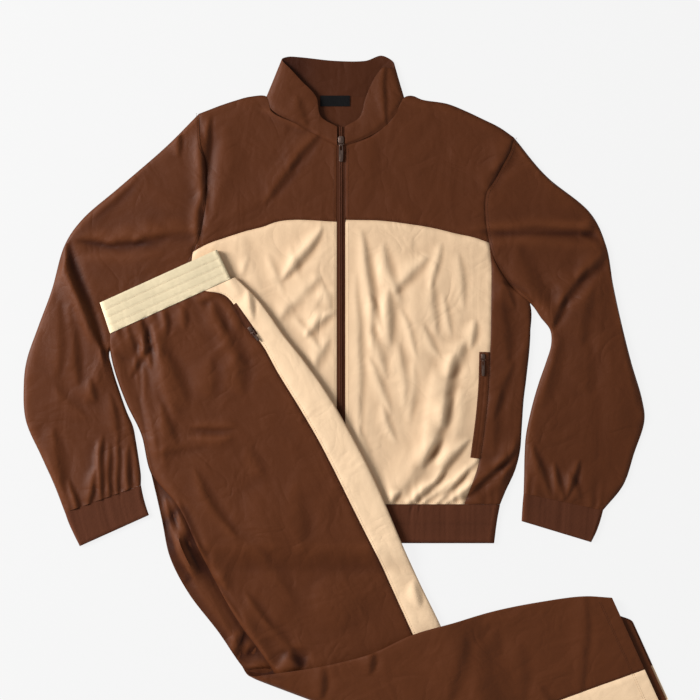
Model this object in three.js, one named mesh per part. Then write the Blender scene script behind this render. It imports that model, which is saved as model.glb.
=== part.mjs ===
import * as THREE from 'three';

// A tracksuit laid out flat: the zipped jacket, with the trousers folded over its lower left side.
// Millimetres, +Z up. Until the last step x = 0 is the zip line and y = 0 the jacket's hem edge.

const ply = 1.5; // wall of one cloth layer
const tabWall = 1.4; // zip pull tabs
const sliderWall = 1.2; // zip sliders
const tabLift = 0.9; // a tab lies this far over its zip
const bandPly = 1.8; // wall of the ribbed bands
const seamInset = 0.33; // each piece stops this far short of its seam line
const backTop = 1.5; // upper face of the jacket's back panel
const backInset = 2.2; // the back panel stops this far inside the seams
const jacketTop = 6.0; // upper face of the front, flat on the back
const jacketEdge = 3.5; // height of the front where it turns down at an edge
const jacketRound = 11; // width of that turn
const panelColumns = 10; // grid columns of the front panels
const sideColumns = 4; // and of the side panels
const yokeRows = 8; // grid rows of the yokes
const frontRows = 18; // and of the panels under them
const zipHalf = 6.4; // half the width of the zip tapes
const trousersBed = 7.9; // height at which the trousers lie on the jacket
const bedSlope = 42; // distance over which they come down to the ground
const stack = 9.0; // thickness of the folded trousers
const stackEdge = 5.5; // height of the uppermost layer at the folded edge
const stackRound = 16; // width of the turn at the edge
const layerGap = 0.5; // between the layers of the folded legs
const foldHollow = 1.0; // inner radius of the folded knee
const bandLength = 48; // waistband, measured down the leg
const legOver = 14; // how far the left hem reaches past the right one
const trousersX = -360; // left upper corner of the waistband
const trousersY = 360;
const legTurn = 24.4 * Math.PI / 180; // the leg's turn from straight down
const kneeLine = 628; // the fold runs where down minus across is this

const brown = 0x5c3524;
const darkBrown = 0x4e2620;
const cream = 0xf0d6b4;
const black = 0x1c1a1a;
const metal = 0x8a837a;

// Jacket seam lines: points x, y.
const neckSeamRight = [[7.5, 595.5], [46.5, 610.5], [76.5, 637.5], [94.5, 667.5]];
const shoulderRight = [[94.5, 667.5], [106.5, 670.5], [121.5, 664.5], [159, 658.5], [186, 648], [211.5, 636], [238.5, 622.5], [259.5, 607.5]];
const armholeRightUpper = [[259.5, 607.5], [253.5, 586.5], [241.5, 564], [231, 544.5], [219, 526.5], [216, 510], [217.5, 477], [222, 450]];
const armholeRightLower = [[222, 450], [228, 430.5], [238.5, 409.5], [256.5, 384], [283.5, 360]];
const neckSeamLeft = [[-7.5, 595.5], [-64.5, 627], [-103.5, 646.5], [-111, 669]];
const shoulderLeft = [[-111, 669], [-136.5, 669], [-159, 663], [-181.5, 655.5], [-201, 648], [-213, 643.5]];
const armholeLeftUpper = [[-213, 643.5], [-210, 597], [-202.5, 574.5], [-201, 544.5], [-202.5, 514.5], [-205.5, 492], [-213, 457.5], [-222, 436.5]];
const armholeLeftLower = [[-222, 436.5], [-237, 409.5], [-256.5, 384], [-283.5, 360]];
const yokeSeamRight = [[7.5, 484.5], [61.5, 483], [99, 478.5], [136.5, 472.5], [174, 463.5], [201, 457.5], [222, 450]];
const yokeSeamLeft = [[-7.5, 481.5], [-69, 484.5], [-96, 481.5], [-117, 474], [-141, 468], [-178.5, 456], [-199.5, 448.5], [-222, 436.5]];
const creamEdgeRight = [[222, 450], [225, 417], [225, 364.5], [223.5, 289.5], [219, 214.5], [211.5, 154.5], [205.5, 117], [193.5, 82.5], [184.5, 58.5]];
const creamEdgeLeft = [[-222, 436.5], [-225, 409.5], [-225, 364.5], [-223.5, 289.5], [-219, 214.5], [-211.5, 154.5], [-205.5, 117], [-193.5, 82.5], [-184.5, 58.5]];
const sideRight = [[283.5, 360], [283.5, 304.5], [277.5, 244.5], [273.8, 214.5], [270.8, 169.5], [268.5, 139.5], [261, 109.5], [246, 76.5], [238.5, 58.5]];
const sideLeft = [[-283.5, 360], [-283.5, 304.5], [-277.5, 244.5], [-274.5, 214.5], [-271.5, 169.5], [-268.5, 139.5], [-261, 109.5], [-246, 76.5], [-238.5, 58.5]];

// Jacket sleeves, armhole to cuff: inner x, y, outer x, y.
const sleeveLeftRows = [
  [-292.5, 345, -264, 592.5],
  [-307.5, 321, -331.5, 534],
  [-330, 301.5, -388.5, 484.5],
  [-346.5, 288, -414, 447],
  [-342, 259.5, -433.5, 379.5],
  [-330, 222, -454.5, 322.5],
  [-321, 196.5, -471, 274.5],
  [-312, 175.5, -475.5, 237],
  [-307.5, 153, -472.5, 184.5],
  [-303, 124.5, -448.5, 129],
  [-300, 102, -429, 85.5],
  [-300, 87, -414, 46.5]
];
const cuffLeftRows = [
  [-299.9, 86.7, -413.8, 46.2],
  [-297, 72, -408, 30],
  [-292.5, 55.5, -399, 10.5],
  [-288, 42, -391.5, -4.5]
];
const sleeveRightRows = [
  [291, 351, 310.5, 547.5],
  [300, 337.5, 373.5, 495],
  [313.5, 319.5, 397.5, 445.5],
  [315, 297, 408, 387],
  [307.5, 271.5, 420, 331.5],
  [295.5, 237, 435, 271.5],
  [285, 199.5, 451.5, 214.5],
  [277.5, 163.5, 454.5, 181.5],
  [275.2, 132, 439.5, 135],
  [274.5, 100.5, 423, 87],
  [273.8, 75, 393, 49.5]
];
const cuffRightRows = [
  [273.8, 74.7, 392.8, 49.2],
  [272.4, 60, 388.5, 33],
  [271.5, 46.5, 382.5, 16.5],
  [270.8, 33, 375, 1.5]
];

// Whole outline of the jacket, for the turn of its edges and for what lies over it.
const jacketOutline = [
  [-112.5, 672], [-136.5, 670.5], [-181.5, 657], [-220.5, 640.5], [-246, 621], [-264, 591], [-301.5, 559.5], [-361.5, 508.5],
  [-405, 469.5], [-415.5, 447], [-420, 429], [-441, 369], [-465, 289.5], [-475.5, 249], [-475.5, 214.5], [-472.5, 181.5],
  [-444, 114], [-420, 61.5], [-391.5, -4.5], [-288, 42], [-298.5, 69], [-303, 129], [-316.5, 181.5], [-339, 244.5],
  [-348, 286.5], [-330, 300], [-307.5, 319.5], [-286.5, 357], [-283.5, 304.5], [-274.5, 214.5], [-268.5, 139.5], [-246, 76.5],
  [-234, 34.5], [-229.5, 0], [229.5, 0], [234, 34.5], [246, 76.5], [268.5, 139.5], [273.8, 214.5], [283.5, 304.5],
  [286.5, 357], [300, 337.5], [313.5, 319.5], [315, 297], [307.5, 271.5], [295.5, 237], [285, 199.5], [277.5, 163.5],
  [274.5, 100.5], [270.8, 33], [375, 1.5], [391.5, 48], [424.5, 91.5], [444, 159], [456, 190.5], [433.5, 289.5],
  [412.5, 376.5], [396, 454.5], [373.5, 493.5], [309, 549], [261, 609], [211.5, 636], [159, 658.5], [106.5, 670.5], [94.5, 679.5]
];

// Collar, from one zip end round the back to the other: seam x, y, top edge x, y, height.
const collarRows = [
  [-6, 596.2, -6, 624, 7.4],
  [-34.5, 610.5, -30, 639, 7.6],
  [-63, 628.5, -37.5, 669, 7.8],
  [-85.5, 640.5, -60, 693, 8.0],
  [-102, 651, -76.5, 711, 7.6],
  [-111, 663, -87, 721.5, 5.6],
  [-111, 670.5, -88.5, 726, 2.4],
  [-102, 671.2, -81, 729, 0.3],
  [-61.5, 671.2, -58.5, 728.2, 0],
  [-9, 671.2, -9, 723, 0],
  [40.5, 671.2, 36, 723, 0],
  [82.5, 671.2, 63, 730.5, 0.3],
  [93, 672, 79.5, 720, 2.4],
  [93.8, 666, 78, 711, 5.6],
  [85.5, 652.5, 64.5, 712.5, 7.6],
  [73.5, 636.8, 52.5, 700.5, 8.0],
  [55.5, 619.5, 37.5, 669, 7.8],
  [34.5, 607.5, 28.5, 639, 7.6],
  [6, 596.2, 6, 624, 7.4]
];

// Largest folds of the jacket: x, y at both ends, half width, rise.
const jacketFolds = [
  [236, 465, 376, 464, 13, -2.2],
  [398, 428, 330, 350, 13, -2.0],
  [388, 290, 406, 184, 22, 1.5],
  [-386, 446, -250, 462, 14, -2.0],
  [-412, 438, -350, 292, 12, -2.0],
  [-424, 340, -400, 262, 14, -1.6],
  [-196, 606, -204, 470, 12, -1.8],
  [-40, 600, -104, 522, 13, -1.6],
  [-36, 460, -80, 400, 13, -1.7],
  [32, 440, 44, 320, 12, -1.3],
  [162, 240, 150, 190, 12, -2.0],
  [150, 190, 78, 78, 13, -2.3],
  [272, 148, 190, 78, 12, -2.2],
  [176, 214, 148, 138, 13, 1.6]
];

// Leg edges down the trousers: down, then the across place of the left leg's inner edge,
// the right leg's inner edge, the brown and cream seam, and the outer edge.
const legRows = [
  [48.6, -6, -6, 150, 200],
  [66, -13, -13, 174, 207],
  [90, -19, -19, 182, 216],
  [119, -23, -23, 184, 223],
  [157, -25, -25, 195, 230],
  [204, -24, -24, 199, 242],
  [267, -35, -37, 207, 254],
  [327, -19, -49, 213, 260],
  [390, -18, -63, 216, 264],
  [450, -16, -60, 218, 264],
  [523, -9, -43, 221, 262],
  [580, 3, -33, 221, 262],
  [645, 12, -14, 221, 264],
  [710, 20, 4, 221, 264],
  [780, 26, 16, 221, 264],
  [850, 28, 16, 214, 264],
  [921, 33, 27, 203, 264],
  [982, 43, 37, 197, 264],
  [1041, 57, 51, 200, 264],
  [1104, 76, 70, 205, 264],
  [1143, 96, 90, 208, 264]
];

// Largest folds of the trousers, in the same way as the jacket's.
const trouserFolds = [
  [-262, 286, -232, 220, 12, -1.8],
  [-192, 355, -142, 271, 12, -1.8],
  [-209, 98, -119, -14, 13, -1.6],
  [-236, 52, -218, 15, 12, -1.8],
  [-76, -160, -62, -180, 14, -2.6],
  [32, -160, 31, -188, 14, -1.3],
  [181, -149, 166, -222, 16, -1.4],
  [209, -160, 200, -220, 18, 1.3]
];

function lerp(a, b, k) {
  return a + (b - a) * k;
}

function smooth(k) {
  const c = Math.min(1, Math.max(0, k));
  return c * c * (3 - 2 * c);
}

function resample(points, count) {
  const line = new THREE.CatmullRomCurve3(points.map(([x, y]) => new THREE.Vector3(x, y, 0)), false, 'centripetal');
  return line.getSpacedPoints(count).map((p) => [p.x, p.y]);
}

// Distance from a place to a line piece, and how far along it the nearest point is.
function toSegment(x, y, x0, y0, x1, y1) {
  const dx = x1 - x0;
  const dy = y1 - y0;
  const k = Math.min(1, Math.max(0, ((x - x0) * dx + (y - y0) * dy) / (dx * dx + dy * dy)));
  return [Math.hypot(x - x0 - dx * k, y - y0 - dy * k), k];
}

// Distance to a closed outline, positive outside it.
function toOutline(x, y, outline) {
  let best = Infinity;
  let inside = false;
  for (let i = 0; i < outline.length; i++) {
    const [x0, y0] = outline[i];
    const [x1, y1] = outline[(i + 1) % outline.length];
    best = Math.min(best, toSegment(x, y, x0, y0, x1, y1)[0]);
    if ((y0 > y) !== (y1 > y) && x < (x1 - x0) * (y - y0) / (y1 - y0) + x0) {
      inside = !inside;
    }
  }
  return inside ? -best : best;
}

function foldsAt(x, y, folds) {
  let rise = 0;
  for (const [x0, y0, x1, y1, width, height] of folds) {
    const [d, k] = toSegment(x, y, x0, y0, x1, y1);
    rise += height * Math.exp(-((d / width) ** 2)) * (0.55 + 0.45 * Math.sin(Math.PI * k));
  }
  return rise;
}

function turned(inward, low, high, width) {
  const k = Math.min(1, Math.max(0, inward / width));
  return low + (high - low) * Math.sqrt(1 - (1 - k) ** 2);
}

// Place on the ground of a point of the trousers given across and down the leg.
function legPlace(across, down) {
  const c = Math.cos(legTurn);
  const s = Math.sin(legTurn);
  return [trousersX + across * c + down * s, trousersY + across * s - down * c];
}

function rowAt(rows, value) {
  let i = 1;
  while (i < rows.length - 1 && rows[i][0] < value) {
    i++;
  }
  const k = (value - rows[i - 1][0]) / (rows[i][0] - rows[i - 1][0]);
  return rows[i].map((v, n) => lerp(rows[i - 1][n], v, k));
}

const thighOutline = (() => {
  const outer = [];
  const inner = [];
  for (const [down, , right, , edge] of legRows) {
    if (down <= kneeLine + edge) {
      outer.push(legPlace(edge, down));
    }
    if (down <= kneeLine + right) {
      inner.push(legPlace(right, down));
    }
  }
  return [legPlace(0, 0), legPlace(192, 0), ...outer, legPlace(264, kneeLine + 264), ...inner.reverse()];
})();

function jacketHeight(x, y) {
  const inward = -toOutline(x, y, jacketOutline);
  const clear = smooth((toOutline(x, y, thighOutline) - 2) / 16);
  const rise = foldsAt(x, y, jacketFolds) * clear * smooth(inward / 14);
  return Math.max(jacketEdge, turned(inward, jacketEdge, jacketTop, jacketRound) + rise);
}

function bedHeight(x, y) {
  return trousersBed * (1 - smooth(toOutline(x, y, jacketOutline) / bedSlope));
}

// A closed mesh from points and triangles, turned to face outward.
function solid(name, points, faces, colour) {
  let volume = 0;
  for (const [a, b, c] of faces) {
    volume += new THREE.Vector3(...points[a]).dot(new THREE.Vector3(...points[b]).cross(new THREE.Vector3(...points[c])));
  }
  const index = faces.flatMap(([a, b, c]) => (volume > 0 ? [a, b, c] : [a, c, b]));
  const geometry = new THREE.BufferGeometry();
  geometry.setAttribute('position', new THREE.Float32BufferAttribute(points.flat(), 3));
  geometry.setIndex(index);
  geometry.computeVertexNormals();
  const mesh = new THREE.Mesh(geometry, new THREE.MeshStandardMaterial({ color: colour, roughness: 0.7 }));
  mesh.name = name;
  return mesh;
}

// Two triangles over four corners, split the other way where that diagonal is far shorter.
function quad(faces, points, a, b, c, d) {
  const span = (m, n) => Math.hypot(...[0, 1, 2].map((k) => points[m][k] - points[n][k]));
  if (span(b, d) < 0.5 * span(a, c)) {
    faces.push([a, b, d], [b, c, d]);
  } else {
    faces.push([a, b, c], [a, c, d]);
  }
}

// A sheet between an upper and a lower grid of points.
function slab(name, upper, lower, colour) {
  const rows = upper.length;
  const cols = upper[0].length;
  const points = [...upper.flat(), ...lower.flat()];
  const faces = [];
  const up = (i, j) => i * cols + j;
  const low = (i, j) => rows * cols + i * cols + j;
  for (let i = 0; i < rows - 1; i++) {
    for (let j = 0; j < cols - 1; j++) {
      quad(faces, points, up(i, j), up(i, j + 1), up(i + 1, j + 1), up(i + 1, j));
      quad(faces, points, low(i, j), low(i + 1, j), low(i + 1, j + 1), low(i, j + 1));
    }
    quad(faces, points, up(i, 0), up(i + 1, 0), low(i + 1, 0), low(i, 0));
    quad(faces, points, up(i, cols - 1), low(i, cols - 1), low(i + 1, cols - 1), up(i + 1, cols - 1));
  }
  for (let j = 0; j < cols - 1; j++) {
    quad(faces, points, up(0, j), low(0, j), low(0, j + 1), up(0, j + 1));
    quad(faces, points, up(rows - 1, j), up(rows - 1, j + 1), low(rows - 1, j + 1), low(rows - 1, j));
  }
  return solid(name, points, faces, colour);
}

// A tube wall between outer and inner closed rings.
function tube(name, outer, inner, colour) {
  const rows = outer.length;
  const cols = outer[0].length;
  const points = [...outer.flat(), ...inner.flat()];
  const faces = [];
  const out = (i, j) => i * cols + (j % cols);
  const inn = (i, j) => rows * cols + i * cols + (j % cols);
  for (let j = 0; j < cols; j++) {
    for (let i = 0; i < rows - 1; i++) {
      quad(faces, points, out(i, j), out(i, j + 1), out(i + 1, j + 1), out(i + 1, j));
      quad(faces, points, inn(i, j), inn(i + 1, j), inn(i + 1, j + 1), inn(i, j + 1));
    }
    quad(faces, points, out(0, j), inn(0, j), inn(0, j + 1), out(0, j + 1));
    quad(faces, points, out(rows - 1, j), out(rows - 1, j + 1), inn(rows - 1, j + 1), inn(rows - 1, j));
  }
  return solid(name, points, faces, colour);
}

// Plan of a panel from its four seam lines, drawn in a little at the edges.
function plan(top, bottom, left, right, across, along) {
  const t = resample(top, across);
  const b = resample(bottom, across);
  const l = resample(left, along);
  const r = resample(right, along);
  const grid = [];
  for (let i = 0; i <= along; i++) {
    const v = i / along;
    const row = [];
    for (let j = 0; j <= across; j++) {
      const u = j / across;
      const place = [0, 1].map((n) => {
        const sides = lerp(l[i][n], r[i][n], u) + lerp(t[j][n], b[j][n], v);
        return sides - lerp(lerp(t[0][n], t[across][n], u), lerp(b[0][n], b[across][n], u), v);
      });
      row.push(place);
    }
    grid.push(row);
  }
  return drawnIn(grid);
}

function drawnIn(grid) {
  const rows = grid.length - 1;
  const cols = grid[0].length - 1;
  const moved = grid.map((row) => row.map((p) => [...p]));
  const pull = (p, from, to) => {
    const d = Math.hypot(to[0] - from[0], to[1] - from[1]);
    p[0] += (to[0] - from[0]) * seamInset / d;
    p[1] += (to[1] - from[1]) * seamInset / d;
  };
  for (let i = 0; i <= rows; i++) {
    pull(moved[i][0], grid[i][0], grid[i][1]);
    pull(moved[i][cols], grid[i][cols], grid[i][cols - 1]);
  }
  for (let j = 0; j <= cols; j++) {
    pull(moved[0][j], grid[0][j], grid[1][j]);
    pull(moved[rows][j], grid[rows][j], grid[rows - 1][j]);
  }
  return moved;
}

function raised(grid, height) {
  return grid.map((row) => row.map(([x, y]) => [x, y, height(x, y)]));
}

function jacketPanel(name, grid, colour) {
  return slab(name, raised(grid, jacketHeight), raised(grid, (x, y) => jacketHeight(x, y) - ply), colour);
}

// Flattened tube from rows of points that run from one folded edge to the other.
function flatTube(name, rows, wall, height, colour) {
  const outer = [];
  const inner = [];
  for (const row of rows) {
    const n = row.length - 1;
    const high = row.map(([x, y], j) => [x, y, j === 0 || j === n ? jacketEdge - 1 : height(x, y)]);
    const low = row.map(([x, y], j) => [x, y, j === 0 || j === n ? 0.9 : 0]);
    outer.push([...high, ...low.reverse()]);
    const inset = (j) => {
      const k = j === 0 ? 1 : n - 1;
      const d = Math.hypot(row[k][0] - row[j][0], row[k][1] - row[j][1]);
      return [lerp(row[j][0], row[k][0], 2.2 / d), lerp(row[j][1], row[k][1], 2.2 / d)];
    };
    const innerPlan = row.map((p, j) => (j === 0 || j === n ? inset(j) : p));
    const innerHigh = innerPlan.map(([x, y], j) => [x, y, (j === 0 || j === n ? wall + 0.25 : 0.1) + (j === 0 || j === n ? 0 : height(x, y) - wall - 0.1)]);
    const innerLow = innerPlan.map(([x, y]) => [x, y, wall]);
    inner.push([...innerHigh, ...innerLow.reverse()]);
  }
  return tube(name, outer, inner, colour);
}

function straightRow([x0, y0, x1, y1], across) {
  const row = [];
  for (let j = 0; j <= across; j++) {
    row.push([lerp(x0, x1, j / across), lerp(y0, y1, j / across)]);
  }
  return row;
}

// Moves one row of a tube towards the next, to leave the seam open by a hair.
function stepOff(row, next, amount) {
  return row.map(([x, y], j) => {
    const d = Math.hypot(next[j][0] - x, next[j][1] - y);
    return [lerp(x, next[j][0], amount / d), lerp(y, next[j][1], amount / d)];
  });
}

function sleeve(name, lowerArmhole, upperArmhole, rows, colour) {
  const first = [...resample(lowerArmhole, sideColumns).reverse(), ...resample(upperArmhole, yokeRows).reverse().slice(1)];
  const straight = rows.map((row) => straightRow(row, first.length - 1));
  const start = stepOff(first, straight[0], 2 * seamInset);
  return flatTube(name, [start, ...straight], ply, jacketHeight, colour);
}

function cuff(name, rows, across, colour) {
  const straight = rows.map((row) => straightRow(row, across));
  const height = (x, y) => Math.min(jacketHeight(x, y), 5.2) + 0.3;
  return flatTube(name, straight, bandPly, height, colour);
}

// Jacket back: one flat panel on the ground.
function jacketBack() {
  const edge = [
    ...resample(shoulderRight, 8),
    ...resample(armholeRightUpper, yokeRows).slice(1),
    ...resample(armholeRightLower, 4).slice(1),
    ...resample(sideRight, 8).slice(1),
    ...resample(sideLeft, 8).reverse(),
    ...resample(armholeLeftLower, 4).reverse().slice(1),
    ...resample(armholeLeftUpper, yokeRows).reverse().slice(1),
    ...resample(shoulderLeft, 6).reverse().slice(1)
  ];
  const shape = new THREE.Shape(edge.map(([x, y], i) => {
    const [ax, ay] = edge[(i + edge.length - 1) % edge.length];
    const [bx, by] = edge[(i + 1) % edge.length];
    const before = new THREE.Vector2(y - ay, ax - x).normalize();
    const after = new THREE.Vector2(by - y, x - bx).normalize();
    const middle = before.clone().add(after).normalize();
    return new THREE.Vector2(x, y).addScaledVector(middle, backInset / Math.max(0.4, middle.dot(before)));
  }));
  const geometry = new THREE.ExtrudeGeometry(shape, { depth: backTop, bevelEnabled: false });
  const mesh = new THREE.Mesh(geometry, new THREE.MeshStandardMaterial({ color: brown, roughness: 0.7 }));
  mesh.name = 'jacket_back';
  return mesh;
}

// Hem band: one long band round the bottom, open at the zip.
function hemBand() {
  const left = [[-238.5, 58.5], [-234, 34.5], [-229.5, 0]];
  const right = [[238.5, 58.5], [234, 34.5], [229.5, 0]];
  const rows = 4;
  const l = resample(left, rows);
  const r = resample(right, rows);
  const outer = [];
  const inner = [];
  for (let i = 0; i <= rows; i++) {
    const y = lerp(l[0][1] - 0.3, l[rows][1], i / rows);
    const xl = l[i][0];
    const xr = r[i][0];
    const path = [];
    const front = (x) => Math.min(jacketHeight(x, y), 5.6) + 0.3;
    for (let k = 0; k <= 9; k++) {
      const x = lerp(-zipHalf - 0.4, xl + 8, k / 9);
      path.push([x, front(x), 0, -1]);
    }
    path.push([xl + 1.6, 4.6, 0.75, -0.6], [xl, 2.6, 1, 0], [xl + 1.6, 0.5, 0.75, 0.6]);
    for (let k = 0; k <= 6; k++) {
      path.push([lerp(xl + 8, xr - 8, k / 6), 0, 0, 1]);
    }
    path.push([xr - 1.6, 0.5, -0.75, 0.6], [xr, 2.6, -1, 0], [xr - 1.6, 4.6, -0.75, -0.6]);
    for (let k = 0; k <= 9; k++) {
      const x = lerp(xr - 8, zipHalf + 0.4, k / 9);
      path.push([x, front(x), 0, -1]);
    }
    outer.push(path.map(([x, z]) => [x, y, z]));
    inner.push(path.map(([x, z, nx, nz]) => [x + nx * bandPly, y, z + nz * bandPly]));
  }
  return slab('hem_band', outer, inner, darkBrown);
}

function collar() {
  const steps = 4;
  const outer = [];
  const inner = [];
  const n = collarRows.length;
  for (let i = 0; i < n; i++) {
    const [sx, sy, tx, ty, z] = collarRows[i];
    const before = collarRows[Math.max(0, i - 1)];
    const after = collarRows[Math.min(n - 1, i + 1)];
    const outRow = [];
    const inRow = [];
    for (let k = 0; k <= steps; k++) {
      const u = k / steps;
      const place = new THREE.Vector3(lerp(sx, tx, u), lerp(sy, ty, u), z);
      const run = new THREE.Vector3(
        lerp(after[0], after[2], u) - lerp(before[0], before[2], u),
        lerp(after[1], after[3], u) - lerp(before[1], before[3], u),
        after[4] - before[4]
      );
      const rise = new THREE.Vector3(tx - sx, ty - sy, 0);
      const normal = run.cross(rise).normalize();
      const wall = Math.abs(normal.z) > 0.5 ? bandPly - 0.2 : bandPly - 0.6;
      const inward = normal.multiplyScalar(wall);
      outRow.push(place.toArray());
      inRow.push(place.clone().add(inward).toArray());
    }
    outer.push(outRow);
    inner.push(inRow);
  }
  return slab('collar', outer, inner, brown);
}

// A strip that follows the jacket's surface: centre line points, half width, lift and wall.
function strip(name, line, half, lift, wall, steps, colour, height) {
  const mid = resample(line, steps);
  const grid = mid.map(([x, y], i) => {
    const a = mid[Math.max(0, i - 1)];
    const b = mid[Math.min(steps, i + 1)];
    const d = Math.hypot(b[0] - a[0], b[1] - a[1]);
    const nx = -(b[1] - a[1]) / d;
    const ny = (b[0] - a[0]) / d;
    return [-1, 0, 1].map((k) => [x + nx * half * k, y + ny * half * k]);
  });
  const low = raised(grid, (x, y) => height(x, y) + lift);
  const high = low.map((row) => row.map(([x, y, z]) => [x, y, z + wall]));
  return slab(name, high, low, colour);
}

// The bent stack of the trousers: across, down and height in the flat stack to a place in space.
function legPoint(across, down, height) {
  const centre = stack + foldHollow;
  const mean = foldHollow + stack / 2;
  const start = kneeLine / Math.SQRT2 - mean * Math.PI / 2;
  const past = (down - across) / Math.SQRT2 - start;
  if (past <= 0) {
    const [x, y] = legPlace(across, down);
    return [x, y, height + bedHeight(x, y)];
  }
  const angle = Math.min(past / mean, Math.PI);
  const radius = centre - height;
  const beyond = Math.max(0, past - mean * Math.PI);
  const shift = radius * Math.sin(angle) - beyond - past;
  const a = across - shift / Math.SQRT2;
  const d = down + shift / Math.SQRT2;
  const [x, y] = legPlace(a, d);
  const drop = (stack + 2 * foldHollow) * smooth((a - 262) / 72);
  const z = centre - radius * Math.cos(angle) - drop * smooth(angle / Math.PI);
  return [x, y, z];
}

function legRise(across, down) {
  const [x, y] = legPlace(across, down);
  const start = kneeLine / Math.SQRT2 - 12;
  const past = (down - across) / Math.SQRT2 - start;
  return foldsAt(x, y, trouserFolds) * (1 - smooth((past + 16) / 16));
}

// Upper face of the left leg in the flat stack.
function leftTop(across, down) {
  const [, inner, , , outer] = rowAt(legRows, Math.min(1143, down));
  const inward = Math.min(across - inner, outer - across);
  const rise = legRise(across, down) * smooth(inward / 14);
  return Math.max(stackEdge, turned(inward, stackEdge, stack, stackRound) + rise);
}

// Lower face of the right leg in the flat stack: it turns up a little at the edges.
function rightBottom(across, down) {
  const [, , inner, , outer] = rowAt(legRows, Math.min(1143, down));
  return 1.0 - turned(Math.min(across - inner, outer - across), 0, 1.0, stackRound);
}

// The leg's grid: straight rows at the waistband, rows along the fold at the knee, straight
// rows again at the hem. Share of the way down to the knee, then places past the fold line.
const upperShares = [0, 0.03, 0.07, 0.12, 0.19, 0.26, 0.34, 0.42, 0.5, 0.58, 0.66, 0.74, 0.82, 0.9, 0.96];
const kneePlaces = [-18, -12, -7, -2, 3, 8, 13, 18, 24];
const lowerShares = [0.06, 0.14, 0.24, 0.34, 0.45, 0.56, 0.67, 0.78, 0.89, 1];
const frontShares = [0, 0.03, 0.09, 0.2, 0.36, 0.52, 0.68, 0.84, 1];
const sideShares = [0, 0.5, 0.84, 1];

function legGrid(columns, reach, margins) {
  const grid = [];
  const total = upperShares.length + kneePlaces.length + lowerShares.length;
  for (let i = 0; i < total; i++) {
    const row = columns.map((column) => {
      let a = 0;
      let d = 0;
      for (let pass = 0; pass < 14; pass++) {
        d = downAt(i, a);
        a = column(rowAt(legRows, Math.min(1143, Math.max(48.6, d))));
      }
      return [a, i === total - 1 ? d + reach : d];
    });
    const ends = [[row[0], margins[0]], [row[row.length - 1], -margins[1]]];
    for (const [place, margin] of ends) {
      place[1] += downAt(i, place[0] + margin) - downAt(i, place[0]);
      place[0] += margin;
    }
    grid.push(row);
  }
  return grid;
}

function downAt(i, across) {
  const top = 48.6;
  const hem = 1143;
  const knee = kneeLine + across;
  if (i < upperShares.length) {
    return lerp(top, knee - 26, upperShares[i]);
  }
  if (i < upperShares.length + kneePlaces.length) {
    return knee + kneePlaces[i - upperShares.length] * Math.SQRT2;
  }
  return lerp(knee + 34, hem, lowerShares[i - upperShares.length - kneePlaces.length]);
}

function legPanel(name, grid, high, low, colour) {
  const upper = grid.map((row) => row.map(([a, d]) => legPoint(a, d, high(a, d))));
  const lower = grid.map((row) => row.map(([a, d]) => legPoint(a, d, low(a, d))));
  return slab(name, upper, lower, colour);
}

function trousers() {
  const front = frontShares.map((k) => (row) => lerp(row[1], row[3], k));
  const side = sideShares.map((k) => (row) => lerp(row[3], row[4], k));
  const under = (row) => Math.min(row[2], row[1] - 1.5);
  const m = seamInset;
  const left = legGrid(front, legOver, [m, m]);
  const leftSide = legGrid(side, legOver, [m, m]);
  const right = legGrid([under, ...front], 0, [m, m]);
  const rightSide = legGrid(side, 0, [m, m]);
  const core = legGrid([under, ...front, ...side.slice(1)], -2, [1, 1]);
  const bottom = (a, d) => rightBottom(a, d);
  const innerHigh = (a, d) => {
    const [, inner] = rowAt(legRows, Math.min(1143, d));
    return a < inner - 0.2 ? stackEdge - ply - layerGap : leftTop(a, d) - ply - layerGap;
  };
  return [
    legPanel('left_leg_front', left, leftTop, (a, d) => leftTop(a, d) - ply, brown),
    legPanel('left_leg_side', leftSide, leftTop, (a, d) => leftTop(a, d) - ply, cream),
    legPanel('inner_leg_layers', core, innerHigh, (a, d) => bottom(a, d) + ply + layerGap, brown),
    legPanel('right_leg_front', right, (a, d) => bottom(a, d) + ply, bottom, brown),
    legPanel('right_leg_side', rightSide, (a, d) => bottom(a, d) + ply, bottom, cream)
  ];
}

// Height of the trousers' upper face over a place on the ground.
function trouserTop(x, y) {
  const c = Math.cos(legTurn);
  const s = Math.sin(legTurn);
  const dx = x - trousersX;
  const dy = y - trousersY;
  return leftTop(dx * c + dy * s, dx * s - dy * c) + bedHeight(x, y);
}

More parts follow.
